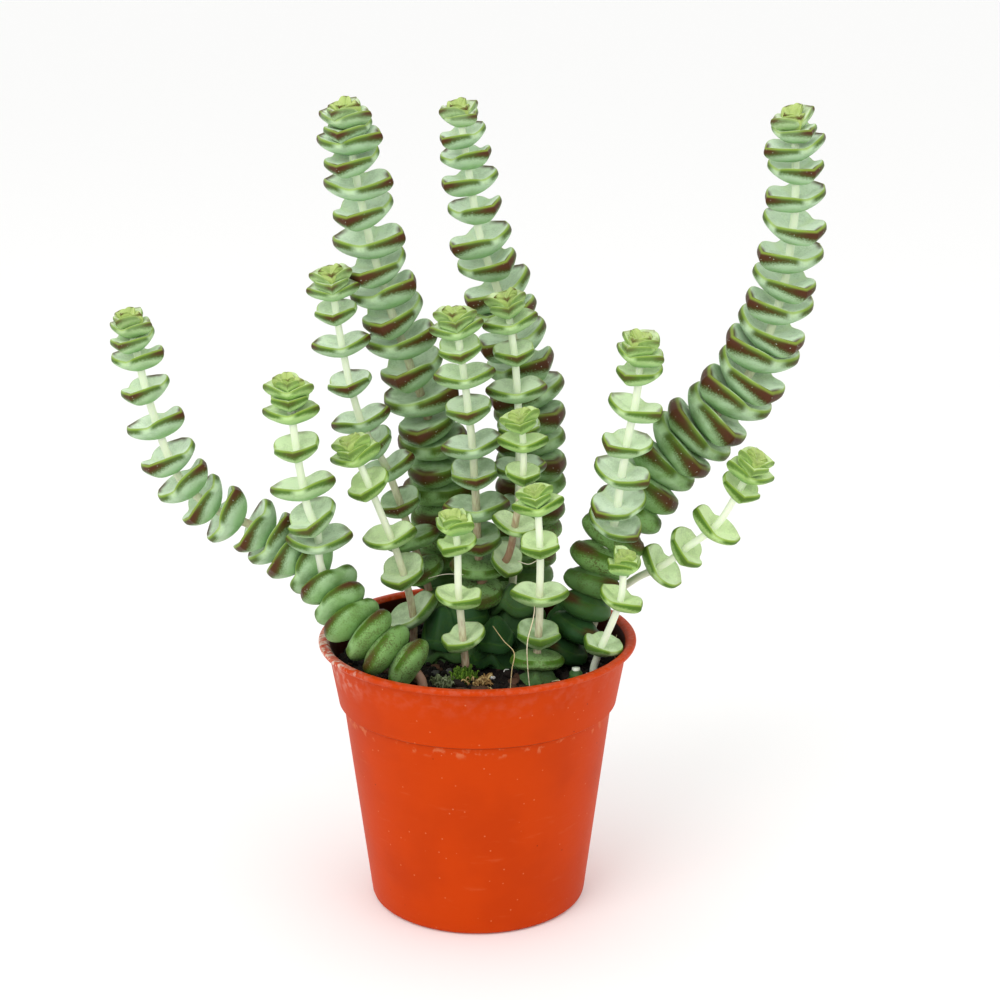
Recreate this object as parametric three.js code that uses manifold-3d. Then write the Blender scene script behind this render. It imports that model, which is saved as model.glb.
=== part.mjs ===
// A potted crassula: twelve leafy stems of fleshy leaf pairs, joined round the stem like beads
// on a string, standing in soil in a round orange nursery pot.
// Millimetres, +Z up. The origin is the middle of the pot's flat underside.
import * as THREE from 'three';
import { mergeVertices } from 'three/addons/utils/BufferGeometryUtils.js';
import Module from 'manifold-3d';

const wasm = await Module();
wasm.setup();

// Pot
const POT_HEIGHT = 78.3;
const BASE_RADIUS = 30.8;
const BASE_EDGE = 1.4;          // rounding of the bottom edge
const WALL = 1.1;
const FLOOR = 1.4;
const BODY_RADIUS = 38.3;       // top of the plain body, under the collar
const COLLAR_BOTTOM = 59.6;
const COLLAR_FOOT_RADIUS = 39.7;
const COLLAR_TOP_RADIUS = 42.6;
const LIP_THICKNESS = 1.5;
const LIP_RADIUS = 45;
const RIM_INNER_RADIUS = 42.7;
const POT_SIDES = 34;
const DRAIN_HOLES = 6;
const DRAIN_RADIUS = 3.2;
const DRAIN_CIRCLE = 19;

// Soil
const SOIL_TOP = 70;
const SOIL_BUMP = 0.8;
const SOIL_SIDES = 26;
const SOIL_RINGS = [10, 20, 30];
const GAP = 0.3;                // clearance between pieces that touch
const ROOT_DEPTH = 8;           // how deep each stem stands in its hole
const FOOT_RISE = 2.5;          // how far each stem goes on straight above its hole
const HOLE_SIDES = 8;

// Leaf pairs: each is one fleshy blade, pointed at both ends, that the stem passes through
const RING_POINTS = 10;
const BREADTH = 0.74;           // of a pair, as a share of its span from tip to tip
const THICK_SHARE = 0.17;       // thickness at the stem, as a share of the span
const THICK_ADD = 0.5;
const KEEL_REACH = 0.84;        // the lower edge of the margin, as a share of the outline
const KEEL_DROP = 0.55;         // how far it lies below the margin, as a share of the thickness
const TIP_LIFT = 0.05;          // rise of the leaf tips, as a share of the span
const DISH = 0.05;              // hollow of the upper face at the stem, as a share of the span
const TURN_JITTER = 5;          // degrees
const SPAN_JITTER = 0.03;
const BUD_HEIGHT = 1.4;         // from the top pair's rim to the very tip
const YOUTH_DEPTH = 5.5;        // how far below the tip the pairs near full size
const OUTLINE_POWER = 0.85;     // under 1 fills out the shoulders of the outline
const LONGEST_STRAIGHT = 13;    // a bare length of stem longer than this gets a ring between
const ROUTE_STEP = 0.5;         // sampling of a stem's route

// Each stem: its route from the soil to the tip, the distances between leaf pairs from the tip
// down, the spans of grown pairs at equal steps from the tip down, how much smaller than those
// the youngest pair is, the stem's radius at the tip and at the base, and the turn of the top
// pair about the stem, in degrees from +X.
const STEMS = [
  {
    name: 'stem_far_left',
    route: [[-15, -22.5, 70], [-17.5, -22, 76], [-25.5, -20, 81.5], [-33, -16.5, 87], [-38.5, -12, 92.5],
      [-43.5, -7.5, 99], [-53, -4, 104.5], [-62, -4, 111.5], [-70.5, -5, 115.5], [-81, -6, 125],
      [-87, -6.5, 141], [-91.2, -6.3, 159], [-93.8, -6, 173.9]],
    internodes: [3.4, 4, 5.3, 9, 10, 10, 8, 7.5, 7.4, 9, 5.8, 6.3, 6.4, 7, 6, 5.7, 6.4, 6, 7],
    spans: [16, 17, 18, 19, 20.5, 19, 18.5, 17.5],
    youth: 0.55,
    radii: [1, 1.4],
    turn: 68,
    branches: [{
      route: [[-40, -9.5, 94], [-43.2, -11.5, 103], [-43.5, -13, 113], [-45.8, -14, 119.5],
        [-47.5, -14, 129.5], [-49, -14, 141], [-50, -14, 152], [-50.4, -14, 157.8]],
      internodes: [2.8, 3, 4, 10, 11, 9.5, 6.5],
      spans: [16, 17, 18.5, 18],
      youth: 0.55,
      radii: [1, 1.2],
      turn: 90,
    }],
  },
  {
    name: 'stem_tall_left',
    route: [[-9.5, 31.5, 70], [-10.5, 31, 88.5], [-10.8, 29.5, 107.5], [-13, 25, 130], [-18.9, 21, 151],
      [-24, 19.4, 167], [-29.7, 17.3, 188], [-33.8, 15, 210.5], [-36.2, 14, 227.2]],
    internodes: [2.8, 3.8, 3.3, 5.5, 7, 7.5, 8.5, 7.5, 7, 7.5, 7.5, 9, 8.5, 8, 6, 7.5, 7, 8, 7, 6.5, 6.5,
      7.5],
    spans: [20, 20.5, 22, 23.5, 22, 20, 18],
    youth: 0.6,
    radii: [1, 1.5],
    turn: 68,
  },
  {
    name: 'stem_slim_left',
    route: [[-11.5, 15, 70], [-13.5, 14.5, 84], [-18.8, 13.5, 102], [-25.5, 12.5, 123], [-32.5, 11.5, 137],
      [-37.5, 10, 159.5], [-40.3, 8, 182.9]],
    internodes: [2.5, 3, 6.5, 9.5, 11.5, 11, 8, 8, 11, 10.5, 9.5, 10],
    spans: [15.5, 17, 17.5, 16.5, 15],
    youth: 0.36,
    radii: [0.95, 1.2],
    turn: 0,
  },
  {
    name: 'stem_low_left',
    route: [[-18.4, 5.5, 70], [-18.4, 3, 83], [-20.7, 0.4, 96], [-24, -2, 107.5], [-29.7, -5, 123.5],
      [-35.3, -6, 138.8]],
    internodes: [2.5, 2.5, 9.5, 17, 12, 13.5],
    spans: [15.5, 16, 17.5, 16],
    youth: 0.36,
    radii: [0.95, 1.15],
    turn: -8,
  },
  {
    name: 'stem_tall_centre',
    route: [[11, 27.5, 70], [13, 29.5, 83.5], [15, 30, 104], [15.2, 29, 124], [14, 28, 143],
      [7.5, 26.5, 167.2], [1, 25, 187], [-3, 24, 210.5], [-5.5, 24, 226.4]],
    internodes: [2.5, 6, 6, 7, 8, 9, 7, 8, 6, 9, 8, 8, 6, 7.5, 6, 7, 6.5, 7, 7, 7, 7, 5],
    spans: [16.5, 18.5, 22, 25, 23.5, 20, 18],
    youth: 0.5,
    radii: [1, 1.5],
    turn: 40,
  },
  {
    name: 'stem_mid_centre',
    route: [[1, 13, 70], [0.9, 11, 81.5], [0, 6.5, 105.5], [-1.4, 4, 133], [-4.6, 1, 161],
      [-6.4, 0, 173.2]],
    internodes: [2.5, 2.5, 6, 8, 10, 10.5, 8.5, 10, 9, 8, 8, 8.5],
    spans: [16, 17, 18.5, 17.5, 15],
    youth: 0.36,
    radii: [1, 1.3],
    turn: 0,
    branches: [{
      route: [[0.4, 8, 90.5], [4, 5, 95.5], [8.1, 2, 99.7], [10.5, -2, 111], [12.7, -5, 126.5],
        [12.7, -5.5, 136], [11.3, -6, 146.2]],
      internodes: [2.3, 6, 9.5, 16, 12.5],
      spans: [14, 14, 12.5],
      youth: 0.3,
      radii: [0.9, 1.1],
      turn: 0,
    }],
  },
  {
    name: 'stem_slim_centre',
    route: [[9.5, 17, 70], [10, 17.7, 86], [11.5, 14.5, 111], [11.8, 11.5, 133], [10.3, 9, 157.5],
      [7.5, 8, 176.1]],
    internodes: [2.8, 5, 9, 11, 11.5, 12, 12.5, 12.5, 13],
    spans: [16, 17, 15, 12],
    youth: 0.36,
    radii: [1, 1.2],
    turn: 0,
  },
  {
    name: 'stem_short_right',
    route: [[16.5, -14, 70], [17, -14, 83], [17.3, -15, 95], [17.2, -16, 109.7], [16.4, -16, 121.3],
      [15.2, -16, 127.7]],
    internodes: [2, 3, 11.5, 14.5, 12, 6.5],
    spans: [14.5, 15, 17, 13.2],
    youth: 0.36,
    radii: [0.95, 1.15],
    turn: 0,
  },
  {
    name: 'stem_short_front',
    route: [[-3.1, -14, 70], [-3.8, -15, 82], [-4.9, -16, 95], [-5.3, -17.3, 110.5], [-6.5, -18, 120.7]],
    internodes: [2.3, 6, 16, 12.5],
    spans: [14, 15, 15.5],
    youth: 0.25,
    radii: [0.95, 1.1],
    turn: 55,
  },
  {
    name: 'stem_tall_right',
    route: [[23.5, -3, 70], [25, -3, 75.5], [31, -1.5, 89], [35.5, 2, 101.5], [45, 6, 117],
      [54.5, 7, 129.5], [63.7, 6, 138.2], [72.4, 4, 148.5], [78.5, 2, 161], [82.6, 0, 176],
      [84.7, -2, 194.5], [84.5, -3.4, 210], [82.9, -4, 226.6]],
    internodes: [4, 5, 6, 7.5, 8, 8, 7.5, 6.5, 7.5, 6, 8, 6.5, 7.5, 7, 6, 6.5, 7.5, 8, 8.5, 8, 7, 7, 7,
      7.5],
    spans: [17.5, 19, 20.5, 24, 25.5, 25, 21, 16.8, 13],
    youth: 0.5,
    radii: [1, 1.6],
    turn: 27,
    branches: [{
      route: [[34, 1, 98], [36.4, -2, 106], [38.1, -6, 113.5], [39.3, -11, 126.5], [40.5, -13, 137],
        [42.4, -14.5, 148], [43.5, -14.5, 158], [43.6, -14.5, 169]],
      internodes: [2, 3, 5, 10, 10.5, 9, 9.5, 7],
      spans: [16, 16.5, 17, 18],
      youth: 0.4,
      radii: [1, 1.25],
      turn: -40,
    }],
  },
  {
    name: 'stem_low_right',
    route: [[32.5, 13, 70], [36, 11.5, 83], [44.6, 5.6, 92.8], [51.5, 1.2, 98], [58.3, -2.5, 104.6],
      [66.2, -5.5, 112.2], [72.3, -8.5, 124], [77, -10.5, 135.2]],
    internodes: [2.2, 3.2, 5.5, 14, 11, 10],
    spans: [15, 16, 15.5, 12],
    youth: 0.36,
    radii: [0.95, 1.15],
    turn: 0,
  },
  {
    name: 'stem_small_right',
    route: [[32.5, -11.5, 70], [33.8, -12.3, 77], [39.5, -14.9, 94], [40.3, -15.2, 104.5],
      [41.3, -15.5, 108.9]],
    internodes: [2.8, 10.5, 15.4],
    spans: [13.5, 14.5, 11.4],
    youth: 0.3,
    radii: [0.95, 1.1],
    turn: -45,
  },
];

// A repeatable draw between -1 and 1
function seededDraw(seed) {
  let state = seed;
  return () => {
    state = (state * 1664525 + 1013904223) % 4294967296;
    return (state / 4294967296) * 2 - 1;
  };
}

// A value read off a list that runs evenly from 0 to 1
function readAlong(list, share) {
  const place = Math.min(Math.max(share, 0), 1) * (list.length - 1);
  const low = Math.min(Math.floor(place), list.length - 2);
  return list[low] + (list[low + 1] - list[low]) * (place - low);
}

// Samples a route from its tip down, with a direction across the stem that turns with the stem
// but doesn't twist about it. at(distance) gives the place that far below the tip.
function sampleRoute(points, turn) {
  const corners = points.map((point) => new THREE.Vector3(...point));
  const curve = new THREE.CatmullRomCurve3(corners, false, 'centripetal');
  const length = curve.getLength();
  const steps = Math.ceil(length / ROUTE_STEP);
  const places = curve.getSpacedPoints(steps).reverse();
  const angle = THREE.MathUtils.degToRad(turn);
  const across = new THREE.Vector3(Math.cos(angle), Math.sin(angle), 0);
  const samples = places.map((place, i) => {
    const above = places[Math.max(i - 1, 0)];
    const below = places[Math.min(i + 1, steps)];
    const up = above.clone().sub(below).normalize();
    across.addScaledVector(up, -across.dot(up)).normalize();
    return { place, up, across: across.clone() };
  });
  const at = (distance) => {
    const where = Math.min(Math.max((distance / length) * steps, 0), steps);
    const low = Math.min(Math.floor(where), steps - 1);
    const share = where - low;
    return {
      place: samples[low].place.clone().lerp(samples[low + 1].place, share),
      up: samples[low].up.clone().lerp(samples[low + 1].up, share).normalize(),
      across: samples[low].across.clone().lerp(samples[low + 1].across, share).normalize(),
    };
  };
  return { length, at };
}

// Adds a ring of points round a place on the stem. Its rows are [along the leaves, across them,
// up the stem].
function addRing(vertices, spot, turn, rows) {
  const side = new THREE.Vector3().crossVectors(spot.up, spot.across);
  const leaf = spot.across.clone().multiplyScalar(Math.cos(turn)).addScaledVector(side, Math.sin(turn));
  const edge = new THREE.Vector3().crossVectors(spot.up, leaf);
  const first = vertices.length / 3;
  for (const [u, v, w] of rows) {
    const point = spot.place.clone().addScaledVector(leaf, u).addScaledVector(edge, v);
    point.addScaledVector(spot.up, w);
    vertices.push(point.x, point.y, point.z);
  }
  return first;
}

// Joins two rings with triangles, the second ring higher on the stem and read from a shift
function joinRings(faces, low, high, shift) {
  for (let i = 0; i < RING_POINTS; i += 1) {
    const next = (i + 1) % RING_POINTS;
    const a = low + i;
    const b = low + next;
    const c = high + ((next + shift) % RING_POINTS);
    const d = high + ((i + shift) % RING_POINTS);
    faces.push(a, b, c, a, c, d);
  }
}

// Adds a ring on a bare length of stem and joins it to the ring below
function bareRing(vertices, faces, below, spot, turn, radius) {
  const ring = addRing(vertices, spot, turn, roundRows(radius, 0));
  joinRings(faces, below, ring, 0);
  return ring;
}

function roundRows(radius, height) {
  return Array.from({ length: RING_POINTS }, (_, i) => {
    const t = (i / RING_POINTS) * 2 * Math.PI;
    return [radius * Math.cos(t), radius * Math.sin(t), height];
  });
}

// The outline of a pair, pointed at its two tips, whose tips rise above its waist
function pairRows(span, reach, height) {
  return Array.from({ length: RING_POINTS }, (_, i) => {
    const t = (i / RING_POINTS) * 2 * Math.PI;
    const along = Math.cos(t);
    const across = Math.sign(Math.sin(t)) * Math.abs(Math.sin(t)) ** OUTLINE_POWER * BREADTH;
    const half = (span / 2) * reach;
    return [half * along, half * across, height + span * TIP_LIFT * along ** 2];
  });
}

// The span of a pair: as its stem's list says, and smaller the younger it is
function spanAt(stem, depth, length) {
  return readAlong(stem.spans, depth / length) * (1 - stem.youth * Math.exp(-depth / YOUTH_DEPTH));
}

// One leafy stem as a closed mesh: the stem with its leaf pairs, from a flat foot to the bud
function stemSolid(stem, seed) {
  const draw = seededDraw(seed);
  const path = sampleRoute(stem.route, stem.turn);
  const vertices = [];
  const faces = [];
  const depths = [0];
  for (const step of stem.internodes) {
    depths.push(depths[depths.length - 1] + step);
  }
  const radiusAt = (depth) => THREE.MathUtils.lerp(stem.radii[0], stem.radii[1], depth / path.length);
  let last = addRing(vertices, path.at(path.length), 0, roundRows(radiusAt(path.length), 0));
  let lastTurn = 0;
  let lastDepth = path.length;
  const climbTo = (depth) => {
    last = bareRing(vertices, faces, last, path.at(depth), lastTurn, radiusAt(depth));
    lastDepth = depth;
  };
  for (let i = 1; i < RING_POINTS - 1; i += 1) {
    faces.push(last, last + i + 1, last + i);
  }
  if (stem.foot > 0) {
    climbTo(path.length - stem.foot);
  }
  for (let n = depths.length - 1; n >= 0; n -= 1) {
    const depth = depths[n] + BUD_HEIGHT;
    const bare = Math.floor((lastDepth - depth) / LONGEST_STRAIGHT);
    const stride = (lastDepth - depth) / (bare + 1);
    for (let i = 0; i < bare; i += 1) {
      climbTo(lastDepth - stride);
    }
    const spot = path.at(depth);
    const radius = radiusAt(depth);
    const span = spanAt(stem, depth, path.length) * (1 + SPAN_JITTER * draw());
    const thickness = span * THICK_SHARE + THICK_ADD;
    const turn = (n % 2) * (Math.PI / 2) + THREE.MathUtils.degToRad(TURN_JITTER * draw());
    const rings = [
      roundRows(radius, -thickness),
      pairRows(span, KEEL_REACH, -thickness * KEEL_DROP),
      pairRows(span, 1, 0),
      roundRows(radius, -span * DISH),
    ];
    const shift = Math.round(((lastTurn - turn) / (2 * Math.PI)) * RING_POINTS);
    rings.forEach((rows, i) => {
      const ring = addRing(vertices, spot, turn, rows);
      joinRings(faces, last, ring, i === 0 ? (shift + RING_POINTS) % RING_POINTS : 0);
      last = ring;
    });
    lastTurn = turn;
    lastDepth = depth;
  }
  const tip = path.at(0);
  vertices.push(tip.place.x, tip.place.y, tip.place.z);
  const bud = vertices.length / 3 - 1;
  for (let i = 0; i < RING_POINTS; i += 1) {
    faces.push(last + i, last + ((i + 1) % RING_POINTS), bud);
  }
  return new wasm.Manifold(new wasm.Mesh({
    numProp: 3,
    vertProperties: new Float32Array(vertices),
    triVerts: new Uint32Array(faces),
  }));
}

function solidFromGeometry(geometry) {
  const bare = geometry.index ? geometry.toNonIndexed() : geometry.clone();
  bare.deleteAttribute('normal');
  bare.deleteAttribute('uv');
  const merged = mergeVertices(bare, 1e-4);
  return new wasm.Manifold(new wasm.Mesh({
    numProp: 3,
    vertProperties: new Float32Array(merged.attributes.position.array),
    triVerts: new Uint32Array(merged.index.array),
  }));
}

function geometryFromSolid(solid) {
  const mesh = solid.getMesh();
  const geometry = new THREE.BufferGeometry();
  geometry.setAttribute('position', new THREE.BufferAttribute(new Float32Array(mesh.vertProperties), 3));
  geometry.setIndex(new THREE.BufferAttribute(new Uint32Array(mesh.triVerts), 1));
  geometry.computeVertexNormals();
  return geometry;
}

// A turned shape about the Z axis from a closed profile of [radius, height]
function turned(profile, sides) {
  const points = profile.map(([r, z]) => new THREE.Vector2(r, z));
  return solidFromGeometry(new THREE.LatheGeometry(points, sides).rotateX(Math.PI / 2));
}

function uprightCylinder(radius, bottom, top, sides, x, y) {
  const geometry = new THREE.CylinderGeometry(radius, radius, top - bottom, sides);
  geometry.rotateX(Math.PI / 2).translate(x, y, (bottom + top) / 2);
  return solidFromGeometry(geometry);
}

// The radius of the pot's inner wall at a height
function innerRadius(z) {
  if (z < COLLAR_BOTTOM + 1) {
    return THREE.MathUtils.lerp(BASE_RADIUS, BODY_RADIUS, z / COLLAR_BOTTOM) - WALL;
  }
  const share = (z - COLLAR_BOTTOM) / (POT_HEIGHT - LIP_THICKNESS - COLLAR_BOTTOM);
  return THREE.MathUtils.lerp(COLLAR_FOOT_RADIUS, COLLAR_TOP_RADIUS, share) - WALL;
}

function makePot() {
  const collarTop = POT_HEIGHT - LIP_THICKNESS;
  const profile = [
    [0, 0],
    [BASE_RADIUS - BASE_EDGE, 0],
    [BASE_RADIUS + BASE_EDGE * 0.17, BASE_EDGE],
    [BODY_RADIUS, COLLAR_BOTTOM],
    [COLLAR_FOOT_RADIUS - 0.4, COLLAR_BOTTOM + 0.2],
    [COLLAR_FOOT_RADIUS, COLLAR_BOTTOM + 1],
    [COLLAR_TOP_RADIUS, collarTop],
    [LIP_RADIUS - 0.2, collarTop],
    [LIP_RADIUS, POT_HEIGHT - 0.5],
    [LIP_RADIUS - 0.5, POT_HEIGHT],
    [RIM_INNER_RADIUS, POT_HEIGHT],
    [innerRadius(collarTop), collarTop],
    [innerRadius(COLLAR_BOTTOM + 3), COLLAR_BOTTOM + 3],
    [innerRadius(COLLAR_BOTTOM), COLLAR_BOTTOM],
    [innerRadius(FLOOR), FLOOR],
    [0, FLOOR],
  ];
  let pot = turned(profile, POT_SIDES);
  for (let i = 0; i < DRAIN_HOLES; i += 1) {
    const angle = (i / DRAIN_HOLES) * 2 * Math.PI;
    const x = DRAIN_CIRCLE * Math.cos(angle);
    const y = DRAIN_CIRCLE * Math.sin(angle);
    pot = pot.subtract(uprightCylinder(DRAIN_RADIUS, -1, FLOOR + 1, HOLE_SIDES, x, y));
  }
  return pot;
}

// The soil fills the pot. Its top is crumbly: rings of points at slightly drawn heights.
function makeSoil() {
  const draw = seededDraw(11);
  const wall = (z) => innerRadius(z) - GAP;
  const bottom = FLOOR + GAP;
  const rim = [
    [wall(SOIL_TOP), SOIL_TOP],
    [wall(COLLAR_BOTTOM + 3), COLLAR_BOTTOM + 3],
    [wall(COLLAR_BOTTOM), COLLAR_BOTTOM],
    [wall(bottom), bottom],
  ];
  const rings = [...SOIL_RINGS.map((r) => [r, SOIL_TOP]), ...rim];
  const vertices = [0, 0, SOIL_TOP];
  rings.forEach(([radius, height], r) => {
    for (let i = 0; i < SOIL_SIDES; i += 1) {
      const angle = (i / SOIL_SIDES) * 2 * Math.PI;
      const bump = r < SOIL_RINGS.length ? SOIL_BUMP * draw() : 0;
      vertices.push(radius * Math.cos(angle), radius * Math.sin(angle), height + bump);
    }
  });
  vertices.push(0, 0, bottom);
  const foot = vertices.length / 3 - 1;
  const faces = [];
  for (let i = 0; i < SOIL_SIDES; i += 1) {
    const next = (i + 1) % SOIL_SIDES;
    faces.push(0, 1 + i, 1 + next);
    for (let r = 0; r < rings.length - 1; r += 1) {
      const inner = 1 + r * SOIL_SIDES;
      const outer = inner + SOIL_SIDES;
      faces.push(inner + i, outer + i, outer + next, inner + i, outer + next, inner + next);
    }
    const edge = 1 + (rings.length - 1) * SOIL_SIDES;
    faces.push(foot, edge + next, edge + i);
  }
  let soil = new wasm.Manifold(new wasm.Mesh({
    numProp: 3,
    vertProperties: new Float32Array(vertices),
    triVerts: new Uint32Array(faces),
  }));
  for (const stem of STEMS) {
    const [x, y] = stem.route[0];
    const radius = stem.radii[1] + GAP;
    const cut = uprightCylinder(radius, SOIL_TOP - ROOT_DEPTH - GAP, SOIL_TOP + 3, HOLE_SIDES, x, y);
    soil = soil.subtract(cut);
  }
  return soil;
}

// The stem goes straight down into its hole
function withRoot(stem) {
  const [x, y] = stem.route[0];
  const heights = [-ROOT_DEPTH, -ROOT_DEPTH / 2, 0, FOOT_RISE];
  const root = heights.map((height) => [x, y, SOIL_TOP + height]);
  return { ...stem, foot: ROOT_DEPTH + FOOT_RISE, route: [...root, ...stem.route.slice(1)] };
}

const potMaterial = new THREE.MeshStandardMaterial({ color: 0xc8480f, roughness: 0.42, metalness: 0 });
const soilMaterial = new THREE.MeshStandardMaterial({ color: 0x2b1d16, roughness: 0.95, metalness: 0 });
const leafMaterial = new THREE.MeshStandardMaterial({ color: 0x8fb678, roughness: 0.55, metalness: 0 });

const group = new THREE.Group();

function addPiece(name, solid, material) {
  const piece = new THREE.Mesh(geometryFromSolid(solid), material);
  piece.name = name;
  group.add(piece);
}

addPiece('pot', makePot(), potMaterial);
addPiece('soil', makeSoil(), soilMaterial);
STEMS.forEach((stem, i) => {
  let solid = stemSolid(withRoot(stem), 100 + i);
  (stem.branches ?? []).forEach((branch, b) => {
    solid = solid.add(stemSolid(branch, 200 + i + b));
  });
  addPiece(stem.name, solid, leafMaterial.clone());
});

export default group;
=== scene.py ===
import functools
import math

import bpy
import numpy as np
from bpy.props import FloatProperty, FloatVectorProperty, IntProperty, PointerProperty
from mathutils import Euler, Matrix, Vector, noise


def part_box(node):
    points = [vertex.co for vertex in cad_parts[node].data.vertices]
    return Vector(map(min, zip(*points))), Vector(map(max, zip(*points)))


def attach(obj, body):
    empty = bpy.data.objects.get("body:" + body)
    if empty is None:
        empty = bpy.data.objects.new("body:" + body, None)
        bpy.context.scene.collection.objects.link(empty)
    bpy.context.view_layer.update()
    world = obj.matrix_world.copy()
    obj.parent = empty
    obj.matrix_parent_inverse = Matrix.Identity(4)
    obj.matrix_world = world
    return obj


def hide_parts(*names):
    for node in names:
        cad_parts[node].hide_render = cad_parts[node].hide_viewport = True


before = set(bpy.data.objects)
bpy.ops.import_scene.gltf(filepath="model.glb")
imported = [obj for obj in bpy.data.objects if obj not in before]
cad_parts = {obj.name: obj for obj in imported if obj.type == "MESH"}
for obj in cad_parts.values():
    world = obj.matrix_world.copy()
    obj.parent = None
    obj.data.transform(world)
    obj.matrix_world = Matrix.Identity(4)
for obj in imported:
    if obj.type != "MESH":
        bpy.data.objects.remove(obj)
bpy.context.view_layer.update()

bl_info = {
    "name": "Potted Crassula",
    "version": (1, 0, 0),
    "blender": (4, 5, 0),
    "location": "View3D > Sidebar > Crassula",
    "description": "Leafy stems, soil and nursery pot of a stacked-leaf crassula",
    "category": "Add Mesh",
}

MM = 0.001
POT_LOW, POT_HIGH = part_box("pot")


def linear(hex_colour):
    """An sRGB hex colour as linear red, green, blue and alpha."""
    channels = [int(hex_colour[i:i + 2], 16) / 255 for i in (1, 3, 5)]
    turned = [c / 12.92 if c <= 0.04045 else ((c + 0.055) / 1.055) ** 2.4 for c in channels]
    return (*turned, 1.0)


def per_metre(millimetres):
    """The texture scale at which one cell of a pattern measures that many millimetres."""
    return 1000 / millimetres


# Settings

def length(name, default, text):
    return FloatProperty(name=name, default=default, description=text, unit="LENGTH", subtype="DISTANCE",
                         precision=5)


def share(name, default, text):
    return FloatProperty(name=name, default=default, description=text, min=0, max=2, subtype="FACTOR")


def angle(name, degrees, text):
    return FloatProperty(name=name, default=math.radians(degrees), description=text, subtype="ANGLE")


def strength(name, default, text):
    return FloatProperty(name=name, default=default, description=text, min=0)


def colour(name, hex_colour, text):
    return FloatVectorProperty(name=name, default=linear(hex_colour), description=text, size=4, min=0,
                               max=1, subtype="COLOR")


class PotSettings(bpy.types.PropertyGroup):
    """Sizes and colours of the nursery pot"""
    rim_diameter: length("Rim diameter", POT_HIGH[1] - POT_LOW[1], "Outside diameter of the rolled lip")
    height: length("Height", POT_HIGH[2], "From the table to the top of the lip")
    base_diameter: length("Base diameter", 0.0616, "Outside diameter at the table")
    wall: length("Wall", 0.0011, "Thickness of the moulded wall")
    plastic: colour("Plastic", "#C03C03", "Terracotta orange of the moulded plastic")
    plastic_deep: colour("Plastic, deeper", "#B83803", "The plastic where it is thicker or cooled later")
    scuffed: colour("Scuffed plastic", "#CF7A52", "Where the skin of the plastic is rubbed dull and pale")
    # The speck colour also paints the thin painted shadow in the corner under the collar
    specks: colour("Specks", "#5A1E0C", "Pinpoint specks of undissolved pigment")
    # The real lime crust on the lip, and also the pale painted reflection on the collar at the left
    lime_and_reflection: colour("Lime and dirt", "#D8C4B4", "Whitish crust left on the lip by hard water")
    # Painted shade: the inner wall painted nearly black, where shade falls inside the pot
    painted_shade_inside: colour("Stained inside", "#1A0B07", "The inner wall, stained by wet soil")


class LeafSettings(bpy.types.PropertyGroup):
    """Form and colours of the leaf pairs"""
    breadth: share("Breadth", 0.73, "Breadth of a pair as a share of its span")
    thickness: share("Thickness", 0.17, "Thickness at the stem as a share of the span")
    hollow: share("Hollow", 0.055, "Hollow of the upper face at the stem as a share of the span")
    notch: share("Notch", 0.1, "How far the outline draws in where the two leaves join")
    rise: angle("Rise", 12, "How far the tips of grown leaves rise")
    light_turn: angle("Turn to the light", 6, "How far the highest pairs lean out to the light")
    face_young: colour("Upper face, young", "#DAF0B4", "Upper face of the youngest leaves")
    face_grown: colour("Upper face, grown", "#E2F3DA", "Upper face of grown leaves under their wax")
    under_young: colour("Under face, young", "#ADD07C", "Under face of the youngest leaves")
    under_grown: colour("Under face, grown", "#B3CFAA", "Under face of grown leaves under their wax")
    # Painted shade: the darker green painted on the under face towards the stem, under the pair
    under_painted_shade: colour("Under face, at the stem", "#82B070", "Under face where it reaches the stem")
    bud: colour("Bud", "#B4C776", "The unopened leaves of the tip")
    old: colour("Old leaf", "#769F55", "Old leaves, where their wax is worn off")
    # Painted shade: the dark green painted on old leaves low in the pot, where shade falls
    painted_shade: colour("Shaded leaf", "#124020", "Old leaves deep in the pot, where no sun gets")
    margin: colour("Margin", "#8FAC42", "The thin green line along the margin")
    green_band: colour("Green band", "#3E680A", "The waxless green band below the margin")
    olive_band: colour("Olive band", "#464406", "The band where the sun has browned it")
    red_band: colour("Red band", "#451C0A", "The dark lower edge of the browned band")
    burnt: colour("Sunburnt tip", "#4E2C1A", "The purple-brown tips of leaves in full sun")
    # Painted light: the pale colour of light shining through the clear tissue at the joint
    painted_joint_glow: colour("Joint", "#CFE3A8", "The clear tissue where the two leaves of a pair join")
    cork: colour("Cork", "#544C2C", "Dry corky dashes on old leaves")


class StemSettings(bpy.types.PropertyGroup):
    """Colours of the stems between the leaf pairs"""
    young: colour("Young", "#EAF2DA", "Watery pale green of a young stem")
    grown: colour("Grown", "#CDC7A6", "A stem that has begun to dry outside")
    old: colour("Old", "#A07C66", "Brown corky skin of an old stem")


class SoilSettings(bpy.types.PropertyGroup):
    """The potting mix and what lies on it"""
    relief: length("Relief", 0.0018, "Height of the clods of the soil")
    crumbs: IntProperty(name="Crumbs", default=620, min=0, max=2000,
                        description="Crumbs of peat and bark on the soil")
    wet_peat: colour("Wet peat", "#0D0705", "Wet peat between the clods")
    peat: colour("Peat", "#1D130D", "Moist peat")
    bark: colour("Bark", "#543826", "Composted bark")
    perlite: colour("Perlite", "#F2F2EC", "Expanded perlite")
    gravel: colour("Gravel", "#77756F", "Grey crushed gravel")
    moss: colour("Moss", "#6E9426", "Living moss")
    straw: colour("Straw", "#CBB27A", "Dead moss, grass and roots")


class StageSettings(bpy.types.PropertyGroup):
    """Floor, lights and camera"""
    floor: colour("Floor", "#FBFBFA", "Plain pale floor")
    key: strength("Key light", 4.5, "Power of the key light in watts")
    fill: strength("Fill light", 1.2, "Power of the fill light in watts")
    sky: strength("Sky", 1.0, "Strength of the even studio light")


# Nodes of a material, with the settings that many of them share

SMOOTH = {"interpolation_type": "SMOOTHSTEP"}
COLOURS = {"data_type": "RGBA"}


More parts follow.
